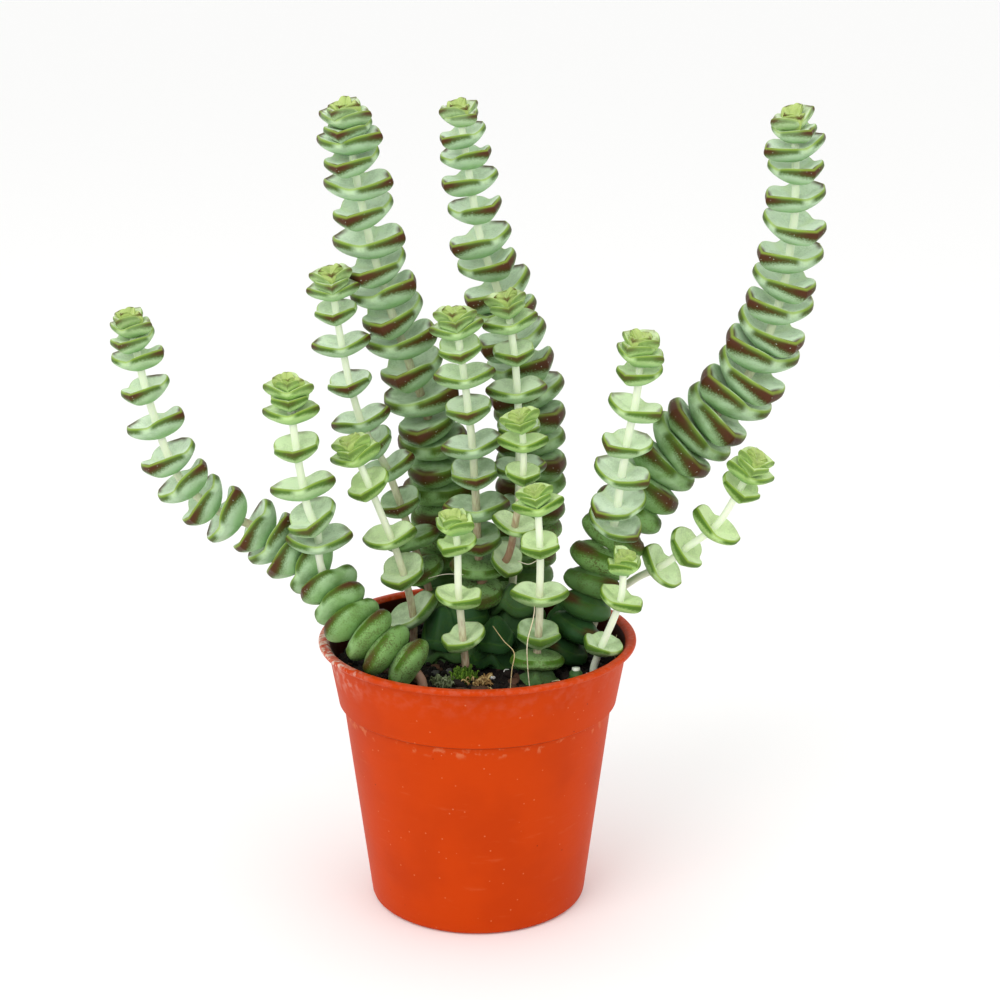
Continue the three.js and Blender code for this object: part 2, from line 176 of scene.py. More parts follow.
def put_node(tree, kind, inputs=None, output=0, **settings):
    """Adds a node with its settings and with its inputs, each a value or another node's output, and
    returns the output that is asked for."""
    node = tree.nodes.new("ShaderNode" + kind)
    for name, value in settings.items():
        setattr(node, name, value)
    for place, value in (inputs or {}).items():
        socket = node.inputs[place]
        if isinstance(value, bpy.types.NodeSocket):
            tree.links.new(value, socket)
        else:
            socket.default_value = value
    return node.outputs[output] if node.outputs else None


def new_material(name):
    """A new material without nodes, and the function that puts one in."""
    material = bpy.data.materials.new(name)
    material.use_nodes = True
    material.node_tree.nodes.clear()
    return material, functools.partial(put_node, material.node_tree)


def leaf_material(leaf):
    """Crassula leaf. Its own wax gives the eye a pale grey bloom over watery green flesh. The wax
    is missing in a band below the margin, which shows deep green and, in strong sun, turns olive
    and then red-brown from the tip inwards, with a dotted lower edge."""
    material, put = new_material("crassula leaf, waxed and sun-browned")
    place = put("TexCoord", output="Object")
    # The age read here is 0 at the tip and 1 for old leaves; above 1 it stands for painted shade
    from_rim, below, tip, age, browned, vary, waxed = [
        put("Attribute", output="Fac", attribute_name=name)
        for name in ("from_rim", "below", "tip", "age", "browned", "vary", "wax")]
    cloud, fine = [put("TexNoise", {"Vector": place, "Scale": per_metre(size), "Detail": 2.0}, "Fac")
                   for size in (4.0, 0.5)]
    dots, pits = [put("TexVoronoi", {"Vector": place, "Scale": per_metre(size)}, "Distance")
                  for size in (0.42, 1.2)]

    # Uneven age and patches, the band's dotted lower edge, its uneven length, how far its browned
    # part reaches in from the tips, and corky dashes: each a share of one pattern on another
    uneven_age, patches, ragged, along, reach, dashes = [
        put("Math", {0: pattern, 1: amount, 2: other}, operation="MULTIPLY_ADD")
        for pattern, amount, other in ((cloud, 0.3, age), (fine, 0.6, cloud), (dots, 0.45, below),
                                       (vary, 0.06, tip), (browned, 0.72, tip), (cloud, 0.5, fine))]
    redder = put("Math", {0: tip, 1: 0.3, 2: ragged}, operation="MULTIPLY_ADD")
    from_line = put("Math", {0: from_rim, 1: 0.05}, operation="ADD")
    from_line = put("Math", {0: from_line}, operation="ABSOLUTE")

    # Masks: what each follows, where it starts and ends, and how strong it is there. Distances are
    # in mm on a leaf of usual size, ages and nearness to the tip run from 0 to 1, and an age above 1
    # stands for painted shade
    ramps = {
        # deep: painted shade on the under face towards the stem
        "deep": (from_rim, -3.2, -8.0, 0, 0.75),
        "topside": (from_rim, -0.15, 0.25, 0, 1),
        "bud": (age, 0.02, -0.02, 0, 0.9),
        "worn": (uneven_age, 0.36, 0.86, 0, 0.92),
        # Painted shade on old leaves low in the pot
        "painted_shade": (age, 0.8, 1.2, 0, 0.9),
        "patches": (patches, 0.7, 1.0, 0, 0.2),
        # joint: painted light through the clear tissue where the two leaves join
        "painted_joint_glow": (tip, 0.3, 0.0, 0, 0.3),
        "rimward": (from_rim, -2.5, -0.5, 0, 1),
        "green": (ragged, 1.95, 0.95, 0, 1),
        "lip": (from_rim, 0.35, -0.2, 0, 1),
        "along": (along, 0.08, 0.34, 0, 0.92),
        "grown": (age, -0.02, 0.03, 0.35, 1),
        "brown": (ragged, 1.45, 0.8, 0, 1),
        "under_lip": (from_rim, -0.05, -1.5, 0, 1),
        "reach": (reach, 0.66, 1.4, 0, 1),
        "redder": (redder, 0.6, 1.35, 0, 1),
        "point": (tip, 0.74, 0.97, 0, 0.95),
        "near_rim": (from_rim, 2.4, 0.5, 0, 1),
        "in_band": (below, 1.0, 0.4, 0, 1),
        "line": (from_line, 0.85, 0.0, 0, 0.75),
        "pores": (pits, 0.14, 0.07, 0, 0.6),
        "dashes": (dashes, 0.76, 0.92, 0, 1),
        "old": (age, 0.5, 0.85, 0, 0.8),
    }
    mask = {name: put("MapRange", {0: follows, 1: start, 2: end, 3: low, 4: high}, **SMOOTH)
            for name, (follows, start, end, low, high) in ramps.items()}
    # Where the wax is not worn, and where no painted shade lies
    for name, opposite in (("fresh", "worn"), ("lit", "painted_shade")):
        mask[name] = put("Math", {0: 1.0, 1: mask[opposite]}, operation="SUBTRACT")
    mask["browned"] = browned
    mask["sunburnt"] = put("Math", {0: browned, 1: 1.8}, operation="MULTIPLY", use_clamp=True)

    # Where a mask shows at all: the painted light through clear tissue only near the joint of fresh leaves,
    # and so on
    limits = {
        "painted_joint_glow": ("rimward", "fresh"),
        "green": ("lip", "along", "grown", "lit"),
        "brown": ("under_lip", "reach", "browned"),
        "point": ("near_rim", "in_band", "sunburnt"),
        "line": ("fresh", "grown"),
        "pores": ("brown",),
        "dashes": ("old", "lit"),
    }
    for name, others in limits.items():
        for other in others:
            mask[name] = put("Math", {0: mask[name], 1: mask[other]}, operation="MULTIPLY")

    # The colours that vary by themselves, then all the coats over the under face
    sunned = put("Math", {0: browned, 1: 0.45}, operation="MULTIPLY")
    face, upper, green, brown = [
        put("Mix", {0: amount, 6: first, 7: second}, 2, **COLOURS)
        for amount, first, second in ((waxed, leaf.under_young, leaf.under_grown),
                                      (waxed, leaf.face_young, leaf.face_grown),
                                      (sunned, leaf.green_band, leaf.olive_band),
                                      (mask["redder"], leaf.olive_band, leaf.red_band))]
    # Painted shade and light among the coats: the under face's painted shade towards the stem, the painted
    # shade of old leaves low in the pot, and the joint's painted light through its clear tissue
    coats = {"deep": leaf.under_painted_shade, "topside": upper, "bud": leaf.bud, "worn": leaf.old,
             "painted_shade": leaf.painted_shade, "patches": leaf.green_band, "painted_joint_glow": leaf.painted_joint_glow, "green": green,
             "brown": brown, "point": leaf.burnt, "line": leaf.margin, "pores": leaf.face_grown,
             "dashes": leaf.cork}
    for name, coat in coats.items():
        face = put("Mix", {0: mask[name], 6: face, 7: coat}, 2, **COLOURS)

    relief = put("Math", {0: cloud, 1: 2.0, 2: fine}, operation="MULTIPLY_ADD")
    relief = put("Math", {0: mask["dashes"], 1: relief}, operation="ADD")
    bump = put("Bump", {"Height": relief, "Distance": 0.12 * MM, "Strength": 0.5})
    rough = put("Math", {0: fine, 1: 0.12, 2: 0.42}, operation="MULTIPLY_ADD")
    surface = put("BsdfPrincipled", {"Base Color": face, "Roughness": rough, "Normal": bump,
                                     "IOR": 1.44, "Specular IOR Level": 0.14,
                                     "Subsurface Weight": 0.12, "Subsurface Scale": 0.0012,
                                     "Subsurface Radius": (0.7, 1.0, 0.35)})
    put("OutputMaterial", {"Surface": surface})
    return material


def stem_material(stem):
    """Crassula stem. Young it is watery and lets light through. Old it has a thin corky skin that
    splits in long dry flakes."""
    material, put = new_material("crassula stem, watery young and corky old")
    place = put("TexCoord", output="Object")
    age = put("Attribute", output="Fac", attribute_name="age")
    long_way = put("Mapping", {"Vector": place, "Scale": (1.0, 1.0, 0.22)})
    flakes = put("TexNoise", {"Vector": long_way, "Scale": per_metre(0.6), "Detail": 4.0}, "Fac")
    drying = put("MapRange", {0: age, 1: 0.15, 2: 0.6}, **SMOOTH)
    skin = put("Mix", {0: drying, 6: stem.young, 7: stem.grown}, 2, **COLOURS)
    patchy = put("Math", {0: flakes, 1: 0.5, 2: age}, operation="MULTIPLY_ADD")
    corky = put("MapRange", {0: patchy, 1: 0.6, 2: 1.0}, **SMOOTH)
    skin = put("Mix", {0: corky, 6: skin, 7: stem.old}, 2, **COLOURS)
    bump = put("Bump", {"Height": flakes, "Distance": 0.12 * MM, "Strength": 0.5})
    surface = put("BsdfPrincipled", {"Base Color": skin, "Normal": bump, "Roughness": 0.5,
                                     "IOR": 1.42, "Subsurface Weight": 0.25,
                                     "Subsurface Scale": 0.0016,
                                     "Subsurface Radius": (0.9, 1.0, 0.6)})
    put("OutputMaterial", {"Surface": surface})
    return material


def pot_material(pot):
    """Polypropylene, injection moulded. Its skin has a soft satin shine, with fine flow marks,
    pinpoint specks of pigment, and pale scuffs where pots were stacked in each other. Its inner wall
    is painted nearly black as painted shade, a thin painted shadow lies in the corner under the
    collar, and a pale painted reflection lies on the collar at the left, by the lime crust on the lip."""
    material, put = new_material("polypropylene, injection moulded")
    place = put("TexCoord", output="Object")
    across = put("SeparateXYZ", {"Vector": place}, "X")
    height = across.node.outputs["Z"]
    flat = put("Mapping", {"Vector": place, "Scale": (1.0, 1.0, 5.0)})
    cloud, fine, blots, streaks, crumbs = [
        put("TexNoise", {"Vector": where, "Scale": per_metre(size), "Detail": detail}, "Fac")
        for where, size, detail in ((place, 22, 3.0), (place, 0.8, 3.0), (place, 2.6, 4.0),
                                    (flat, 9, 3.0), (place, 1.5, 4.0))]
    pins, specks = [put("TexVoronoi", {"Vector": place, "Scale": per_metre(size)}, "Distance")
                    for size in (3.4, 5.2)]

    # Distance from the rubbed stretch under the collar, and from the corner there, where a thin painted
    # shadow lies
    from_step, from_shadow_line = [
        put("Math", {0: height, 1: (COLLAR_BOTTOM - lower) * MM}, operation="SUBTRACT")
        for lower in (1.8, 0.1)]
    from_step = put("Math", {0: from_step}, operation="ABSOLUTE")
    from_shadow_line = put("Math", {0: from_shadow_line}, operation="ABSOLUTE")

    # The inner wall, told from the outer one by its distance from the axis
    level = put("Mapping", {"Vector": place, "Scale": (1.0, 1.0, 0.0)})
    from_axis = put("VectorMath", {0: level}, "Value", operation="LENGTH")
    slope = (COLLAR_TOP_RADIUS - COLLAR_FOOT_RADIUS) / (COLLAR_TOP - COLLAR_BOTTOM)
    foot = (COLLAR_FOOT_RADIUS - slope * COLLAR_BOTTOM - MID_WALL) * MM
    wall = put("Math", {0: height, 1: slope, 2: foot}, operation="MULTIPLY_ADD")
    inward = put("Math", {0: from_axis, 1: wall}, operation="SUBTRACT")

    # Masks: what each follows, where it starts and ends, and how strong it is there, in metres
    # where that is a distance. The lip's crust and the painted reflection on the collar are strongest
    # at the left, for a negative X
    ramps = {
        "uneven": (cloud, 0.4, 0.65, 0, 1),
        "step": (from_step, 0.0022, 0.0004, 0, 1),
        "blotted": (blots, 0.52, 0.66, 0, 0.55),
        "loose": (streaks, 0.62, 0.8, 0, 0.12),
        "pins": (pins, 0.095, 0.04, 0, 0.6),
        "specks": (specks, 0.055, 0.03, 0, 0.6),
        # Painted shadow: a thin dark line in the corner under the collar
        "painted_shadow_line": (from_shadow_line, 0.0005, 0.0001, 0, 0.6),
        "crumbly": (crumbs, 0.47, 0.6, 0, 1),
        "on_lip": (height, pot.height - 0.0022, pot.height - 0.0006, 0, 1),
        "left": (across, -0.028, -0.040, 0.06, 0.85),
        # Painted reflection: a pale smear on the collar at the left
        "painted_reflection": (blots, 0.4, 0.7, 0, 0.55),
        "on_collar": (height, 0.066, 0.074, 0, 1),
        "inside": (inward, 0.0, -0.0003, 0, 1),
        "below_lip": (height, pot.height - 0.0003, pot.height - 0.0010, 0, 0.94),
        "above_soil": (height, 0.065, 0.067, 0, 1),
    }
    mask = {name: put("MapRange", {0: follows, 1: start, 2: end, 3: low, 4: high}, **SMOOTH)
            for name, (follows, start, end, low, high) in ramps.items()}
    joined = (
        ("rubbed", "step", "MULTIPLY", "blotted"),
        ("rubbed", "rubbed", "ADD", "loose"),
        ("pale", "rubbed", "MAXIMUM", "pins"),
        ("crust_and_reflection", "crumbly", "MULTIPLY", "on_lip"),
        # The lip's lime crust, joined with the painted reflection on the collar, both strongest at the left
        ("painted_reflection", "painted_reflection", "MULTIPLY", "on_collar"),
        ("crust_and_reflection", "crust_and_reflection", "MAXIMUM", "painted_reflection"),
        ("crust_and_reflection", "crust_and_reflection", "MULTIPLY", "left"),
        # Painted shade on the inner wall, between the lip and the soil
        ("painted_shade_inside", "inside", "MULTIPLY", "below_lip"),
        ("painted_shade_inside", "painted_shade_inside", "MULTIPLY", "above_soil"),
    )
    for name, first, operation, second in joined:
        mask[name] = put("Math", {0: mask[first], 1: mask[second]}, operation=operation)

    skin = pot.plastic
    coats = {"uneven": pot.plastic_deep, "pale": pot.scuffed, "specks": pot.specks, "painted_shadow_line": pot.specks,
             "crust_and_reflection": pot.lime_and_reflection, "painted_shade_inside": pot.painted_shade_inside}
    for name, coat in coats.items():
        skin = put("Mix", {0: mask[name], 6: skin, 7: coat}, 2, **COLOURS)

    rough = put("Math", {0: fine, 1: 0.1, 2: 0.42}, operation="MULTIPLY_ADD")
    rough = put("Math", {0: mask["rubbed"], 1: 0.2, 2: rough}, operation="MULTIPLY_ADD")
    relief = put("Math", {0: fine, 1: 0.25, 2: streaks}, operation="MULTIPLY_ADD")
    relief = put("Math", {0: mask["crust_and_reflection"], 1: 0.8, 2: relief}, operation="MULTIPLY_ADD")
    bump = put("Bump", {"Height": relief, "Distance": 0.15 * MM, "Strength": 0.35})
    surface = put("BsdfPrincipled", {"Base Color": skin, "Roughness": rough, "Normal": bump,
                                     "IOR": 1.49, "Specular IOR Level": 0.06,
                                     "Subsurface Weight": 0.06, "Subsurface Scale": 0.001,
                                     "Subsurface Radius": (1.0, 0.3, 0.1)})
    put("OutputMaterial", {"Surface": surface})
    return material


def crumb_material(name, first, second, grain_mm, roughness):
    """Broken bits of one stuff, whose colour differs a little from bit to bit."""
    material, put = new_material(name)
    place = put("TexCoord", output="Object")
    vary = put("Attribute", output="Fac", attribute_name="vary")
    fine = put("TexNoise", {"Vector": place, "Scale": per_metre(grain_mm), "Detail": 4.0}, "Fac")
    shade = put("Math", {0: vary, 1: 0.5, 2: fine}, operation="MULTIPLY_ADD")
    shade = put("MapRange", {0: shade, 1: 0.25, 2: 1.0}, **SMOOTH)
    skin = put("Mix", {0: shade, 6: first, 7: second}, 2, **COLOURS)
    bump = put("Bump", {"Height": fine, "Distance": grain_mm * 0.4 * MM, "Strength": 0.8})
    surface = put("BsdfPrincipled", {"Base Color": skin, "Normal": bump, "Roughness": roughness,
                                     "IOR": 1.4})
    put("OutputMaterial", {"Surface": surface})
    return material


def soil_material(soil):
    """Potting mix, peat and bark: moist and nearly black between its crumbs."""
    material, put = new_material("potting mix, peat and bark")
    place = put("TexCoord", output="Object")
    fine = put("TexNoise", {"Vector": place, "Scale": per_metre(0.9), "Detail": 5.0}, "Fac")
    clods = put("TexNoise", {"Vector": place, "Scale": per_metre(4), "Detail": 3.0}, "Fac")
    raised = put("MapRange", {0: clods, 1: 0.35, 2: 0.7}, **SMOOTH)
    skin = put("Mix", {0: raised, 6: soil.wet_peat, 7: soil.peat}, 2, **COLOURS)
    fibres = put("MapRange", {0: fine, 1: 0.6, 2: 0.74, 4: 0.5}, **SMOOTH)
    skin = put("Mix", {0: fibres, 6: skin, 7: soil.bark}, 2, **COLOURS)
    relief = put("Math", {0: fine, 1: clods}, operation="ADD")
    bump = put("Bump", {"Height": relief, "Distance": 0.8 * MM, "Strength": 0.9})
    surface = put("BsdfPrincipled", {"Base Color": skin, "Normal": bump, "Roughness": 0.9, "IOR": 1.35})
    put("OutputMaterial", {"Surface": surface})
    return material


# Meshes

def seeded_draw(seed):
    """A repeatable draw between -1 and 1."""
    state = seed

    def draw():
        nonlocal state
        state = (state * 1664525 + 1013904223) % 4294967296
        return state / 4294967296 * 2 - 1

    return draw


def linked(name, data):
    """A new object in the scene, from a mesh, a light or a camera."""
    made = bpy.data.objects.new(name, data)
    bpy.context.scene.collection.objects.link(made)
    return made


class MeshParts:
    """Gathers shells in millimetres, with their stored values, into one mesh."""

    def __init__(self):
        self.points = []
        self.faces = []
        self.slots = []
        self.stored = {}
        self.count = 0

    def add(self, points, faces, slot=0, **values):
        points = np.asarray(points, float).reshape(-1, 3)
        first = self.count
        self.count += len(points)
        self.points.append(points)
        self.faces.extend([[place + first for place in face] for face in faces])
        self.slots.extend([slot] * len(faces))
        for name, value in values.items():
            self.stored.setdefault(name, []).append((first, self.count, np.ravel(value)))

    def build(self, name, materials):
        mesh = bpy.data.meshes.new(name)
        points = np.vstack(self.points) * MM
        mesh.from_pydata(points.tolist(), [], self.faces)
        for material in materials:
            mesh.materials.append(material)
        mesh.polygons.foreach_set("material_index", np.array(self.slots, np.int32))
        mesh.shade_smooth()
        for key, rows in self.stored.items():
            values = np.zeros(self.count, np.float32)
            for first, end, row in rows:
                values[first:end] = row
            mesh.attributes.new(key, "FLOAT", "POINT").data.foreach_set("value", values)
        mesh.update()
        piece = linked(name, mesh)
        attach(piece, "root")
        return piece


def ring_faces(rows, around, closed_ends=True):
    """Faces of stacked rings of points that close round, wound outwards when the rows go up."""
    faces = []
    for row in range(rows - 1):
        low = row * around
        high = low + around
        for i in range(around):
            after = (i + 1) % around
            faces.append([low + i, low + after, high + after, high + i])
    if closed_ends:
        faces.append(list(reversed(range(around))))
        faces.append(list(range((rows - 1) * around, rows * around)))
    return faces


def ring(radius, height, around, centre=(0, 0)):
    """Points of a level ring."""
    turn = np.arange(around) / around * 2 * math.pi
    return np.column_stack([centre[0] + radius * np.cos(turn), centre[1] + radius * np.sin(turn),
                            np.full(around, height)])


# Stems and their leaf pairs, as in the part

SOIL_TOP = 70
ROOT_DEPTH = 8
FOOT_RISE = 2.5
THICK_ADD = 0.5
TURN_JITTER = 5
SPAN_JITTER = 0.03
BUD_HEIGHT = 1.4
YOUTH_DEPTH = 5.5
ROUTE_STEP = 0.5
COLLAR_BOTTOM = 59.6

# Each stem's route in mm, distances between pairs from the tip down, spans, radii and turn are the
# part's. From 0 to 1, stout is how thick its leaves are, browned how far the sun has browned their
# bands, old how old its lowest leaves are and how much painted shade they get low in the pot, and
# wood how corky its foot is.
STEMS = [
    dict(
        name="far_left",
        route=[(-15, -22.5, 70), (-17.5, -22, 76), (-25.5, -20, 81.5), (-33, -16.5, 87), (-38.5, -12, 92.5),
               (-43.5, -7.5, 99), (-53, -4, 104.5), (-62, -4, 111.5), (-70.5, -5, 115.5), (-81, -6, 125),
               (-87, -6.5, 141), (-91.2, -6.3, 159), (-93.8, -6, 173.9)],
        internodes=[3.4, 4, 5.3, 9, 10, 10, 8, 7.5, 7.4, 9, 5.8, 6.3, 6.4, 7, 6, 5.7, 6.4, 6, 7],
        spans=[16, 17, 18, 19, 20.5, 19, 18.5, 17.5], youth=0.55, radii=(1, 1.4), turn=68,
        stout=0.9, browned=0.75, old=0.5, wood=1.0,
        branch=dict(
            route=[(-40, -9.5, 94), (-43.2, -11.5, 103), (-43.5, -13, 113), (-45.8, -14, 119.5),
                   (-47.5, -14, 129.5), (-49, -14, 141), (-50, -14, 152), (-50.4, -14, 157.8)],
            internodes=[2.8, 3, 4, 10, 11, 9.5, 6.5],
            spans=[16, 17, 18.5, 18], youth=0.55, radii=(1, 1.2), turn=90,
            stout=0.2, browned=0.4, old=0.4, wood=0.3)),
    dict(
        name="tall_left",
        route=[(-9.5, 31.5, 70), (-10.5, 31, 88.5), (-10.8, 29.5, 107.5), (-13, 25, 130), (-18.9, 21, 151),
               (-24, 19.4, 167), (-29.7, 17.3, 188), (-33.8, 15, 210.5), (-36.2, 14, 227.2)],
        internodes=[2.8, 3.8, 3.3, 5.5, 7, 7.5, 8.5, 7.5, 7, 7.5, 7.5, 9, 8.5, 8, 6, 7.5, 7, 8, 7, 6.5, 6.5,
                    7.5],
        spans=[20, 20.5, 22, 23.5, 22, 20, 18], youth=0.6, radii=(1, 1.5), turn=68,
        stout=1.0, browned=1.0, old=0.85, wood=1.0),
    dict(
        name="slim_left",
        route=[(-11.5, 15, 70), (-13.5, 14.5, 84), (-18.8, 13.5, 102), (-25.5, 12.5, 123),
               (-32.5, 11.5, 137), (-37.5, 10, 159.5), (-40.3, 8, 182.9)],
        internodes=[2.5, 3, 6.5, 9.5, 11.5, 11, 8, 8, 11, 10.5, 9.5, 10],
        spans=[15.5, 17, 17.5, 16.5, 15], youth=0.36, radii=(0.95, 1.2), turn=0,
        stout=0.35, browned=0.75, old=0.8, wood=0.8),
    dict(
        name="low_left",
        route=[(-18.4, 5.5, 70), (-18.4, 3, 83), (-20.7, 0.4, 96), (-24, -2, 107.5), (-29.7, -5, 123.5),
               (-35.3, -6, 138.8)],
        internodes=[2.5, 2.5, 9.5, 17, 12, 13.5],
        spans=[15.5, 16, 17.5, 16], youth=0.36, radii=(0.95, 1.15), turn=-8,
        tilted={6: -30}, stout=0.2, browned=0.2, old=0.3, wood=0.75),
    dict(
        name="tall_centre",
        route=[(11, 27.5, 70), (13, 29.5, 83.5), (15, 30, 104), (15.2, 29, 124), (14, 28, 143),
               (7.5, 26.5, 167.2), (1, 25, 187), (-3, 24, 210.5), (-5.5, 24, 226.4)],
        internodes=[2.5, 6, 6, 7, 8, 9, 7, 8, 6, 9, 8, 8, 6, 7.5, 6, 7, 6.5, 7, 7, 7, 7, 5],
        spans=[16.5, 18.5, 22, 25, 23.5, 20, 18], youth=0.5, radii=(1, 1.5), turn=40,
        stout=1.0, browned=0.95, old=0.85, wood=1.0),
    dict(
        name="mid_centre",
        route=[(1, 13, 70), (0.9, 11, 81.5), (0, 6.5, 105.5), (-1.4, 4, 133), (-4.6, 1, 161),
               (-6.4, 0, 173.2)],
        internodes=[2.5, 2.5, 6, 8, 10, 10.5, 8.5, 10, 9, 8, 8, 8.5],
        spans=[16, 17, 18.5, 17.5, 15], youth=0.36, radii=(1, 1.3), turn=0,
        stout=0.35, browned=0.6, old=0.85, wood=0.9,
        branch=dict(
            route=[(0.4, 8, 90.5), (4, 5, 95.5), (8.1, 2, 99.7), (10.5, -2, 111), (12.7, -5, 126.5),
                   (12.7, -5.5, 136), (11.3, -6, 146.2)],
            internodes=[2.3, 6, 9.5, 16, 12.5],
            spans=[14, 14, 12.5], youth=0.3, radii=(0.9, 1.1), turn=0,
            stout=0.35, browned=0.15, old=0.35, wood=1.0)),
    dict(
        name="slim_centre",
        route=[(9.5, 17, 70), (10, 17.7, 86), (11.5, 14.5, 111), (11.8, 11.5, 133), (10.3, 9, 157.5),
               (7.5, 8, 176.1)],
        internodes=[2.8, 5, 9, 11, 11.5, 12, 12.5, 12.5, 13],
        spans=[16, 17, 15, 12], youth=0.36, radii=(1, 1.2), turn=0,
        stout=0.3, browned=0.6, old=0.6, wood=0.5),
    dict(
        name="short_right",
        route=[(16.5, -14, 70), (17, -14, 83), (17.3, -15, 95), (17.2, -16, 109.7), (16.4, -16, 121.3),
               (15.2, -16, 127.7)],
        internodes=[2, 3, 11.5, 14.5, 12, 6.5],
        spans=[14.5, 15, 17, 13.2], youth=0.36, radii=(0.95, 1.15), turn=0,
        stout=0.2, browned=0.1, old=0.45, wood=0.7),
    dict(
        name="short_front",
        route=[(-3.1, -14, 70), (-3.8, -15, 82), (-4.9, -16, 95), (-5.3, -17.3, 110.5), (-6.5, -18, 120.7)],
        internodes=[2.3, 6, 16, 12.5],
        spans=[14, 15, 15.5], youth=0.25, radii=(0.95, 1.1), turn=55,
        stout=0.15, browned=0.08, old=0.25, wood=0.75),
    dict(
        name="tall_right",
        route=[(23.5, -3, 70), (25, -3, 75.5), (31, -1.5, 89), (35.5, 2, 101.5), (45, 6, 117),
               (54.5, 7, 129.5), (63.7, 6, 138.2), (72.4, 4, 148.5), (78.5, 2, 161), (82.6, 0, 176),
               (84.7, -2, 194.5), (84.5, -3.4, 210), (82.9, -4, 226.6)],
        internodes=[4, 5, 6, 7.5, 8, 8, 7.5, 6.5, 7.5, 6, 8, 6.5, 7.5, 7, 6, 6.5, 7.5, 8, 8.5, 8, 7, 7,
                    7, 7.5],
        spans=[17.5, 19, 20.5, 24, 25.5, 25, 21, 16.8, 13], youth=0.5, radii=(1, 1.6), turn=27,
        stout=1.0, browned=1.0, old=0.9, wood=1.0,
        branch=dict(
            route=[(34, 1, 98), (36.4, -2, 106), (38.1, -6, 113.5), (39.3, -11, 126.5), (40.5, -13, 137),
                   (42.4, -14.5, 148), (43.5, -14.5, 158), (43.6, -14.5, 169)],
            internodes=[2, 3, 5, 10, 10.5, 9, 9.5, 7],
            spans=[16, 16.5, 17, 18], youth=0.4, radii=(1, 1.25), turn=-40,
            stout=0.35, browned=0.5, old=0.4, wood=0.3)),
    dict(
        name="low_right",
        route=[(32.5, 13, 70), (36, 11.5, 83), (44.6, 5.6, 92.8), (51.5, 1.2, 98), (58.3, -2.5, 104.6),
               (66.2, -5.5, 112.2), (72.3, -8.5, 124), (77, -10.5, 135.2)],
        internodes=[2.2, 3.2, 5.5, 14, 11, 10],
        spans=[15, 16, 15.5, 12], youth=0.36, radii=(0.95, 1.15), turn=0,
        stout=0.25, browned=0.12, old=0.3, wood=0.5),
    dict(
        name="small_right",
        route=[(32.5, -11.5, 70), (33.8, -12.3, 77), (39.5, -14.9, 94), (40.3, -15.2, 104.5),
               (41.3, -15.5, 108.9)],
        internodes=[2.8, 10.5, 15.4],
        spans=[13.5, 14.5, 11.4], youth=0.3, radii=(0.95, 1.1), turn=-45,
        stout=0.1, browned=0.08, old=0.15, wood=0.15),
]


def smooth_curve(points, per_span=40):
    """A dense centripetal Catmull-Rom curve through the points."""
    points = np.array(points, float)
    ends = [2 * points[0] - points[1]], [2 * points[-1] - points[-2]]
    knots = np.vstack([ends[0], points, ends[1]])
    share_along = np.linspace(0, 1, per_span, endpoint=False)[:, None]
    pieces = []
    for p0, p1, p2, p3 in zip(knots, knots[1:], knots[2:], knots[3:]):
        before, here, after = [math.sqrt(np.linalg.norm(b - a)) for a, b in ((p0, p1), (p1, p2), (p2, p3))]
        leave = ((p1 - p0) / before - (p2 - p0) / (before + here) + (p2 - p1) / here) * here
        arrive = ((p2 - p1) / here - (p3 - p1) / (here + after) + (p3 - p2) / after) * here
        cubic = 2 * p1 - 2 * p2 + leave + arrive
        square = -3 * p1 + 3 * p2 - 2 * leave - arrive
        pieces.append(p1 + share_along * (leave + share_along * (square + share_along * cubic)))
    return np.vstack([*pieces, points[-1:]])


def unit(rows):
    return rows / np.linalg.norm(rows, axis=-1, keepdims=True)


class StemPath:
    """A route sampled from its tip down, with a direction across it that doesn't twist about it."""

    def __init__(self, route, turn):
        curve = smooth_curve(route)[::-1]
        along = np.concatenate([[0], np.cumsum(np.linalg.norm(np.diff(curve, axis=0), axis=1))])
        self.length = along[-1]
        self.depths = np.linspace(0, self.length, math.ceil(self.length / ROUTE_STEP) + 1)
        self.places = self.read(along, curve, self.depths)
        padded = np.vstack([self.places[:1], self.places, self.places[-1:]])
        self.ups = unit(padded[:-2] - padded[2:])
        angle = math.radians(turn)
        across = np.array([math.cos(angle), math.sin(angle), 0.0])
        acrosses = []
        for up in self.ups:
            across = unit(across - up * across.dot(up))
            acrosses.append(across)
        self.acrosses = np.array(acrosses)

    @staticmethod
    def read(along, rows, depths):
        return np.stack([np.interp(depths, along, rows[:, k]) for k in range(3)], axis=-1)

    def at(self, depth):
        place = self.read(self.depths, self.places, depth)
        up = unit(self.read(self.depths, self.ups, depth))
        across = unit(self.read(self.depths, self.acrosses, depth))
        return place, up, across


def read_along(values, place):
    return np.interp(np.clip(place, 0, 1), np.linspace(0, 1, len(values)), values)


def with_root(stem):
    x, y, _ = stem["route"][0]
    root = [(x, y, SOIL_TOP + height) for height in (-ROOT_DEPTH, -ROOT_DEPTH / 2, 0, FOOT_RISE)]
    return {**stem, "route": [*root, *stem["route"][1:]]}


# The rings of points of a leaf pair: how far out they lie under it, their turn round its lip, how
# far out they lie on its upper face, and the one at the rim
LEAF_AROUND = 60
HULL_ROWS = (0.0, 0.2, 0.4, 0.57, 0.7, 0.8, 0.88, 0.94, 0.975, 0.993)
LIP_TURNS = np.radians([0, 22, 45, 68, 90])
FACE_ROWS = (0.95, 0.87, 0.75, 0.6, 0.43, 0.25, 0.0)
RIM_ROW = len(HULL_ROWS) + 3
LEAF_FACES = ring_faces(len(HULL_ROWS) + len(LIP_TURNS) + len(FACE_ROWS), LEAF_AROUND)

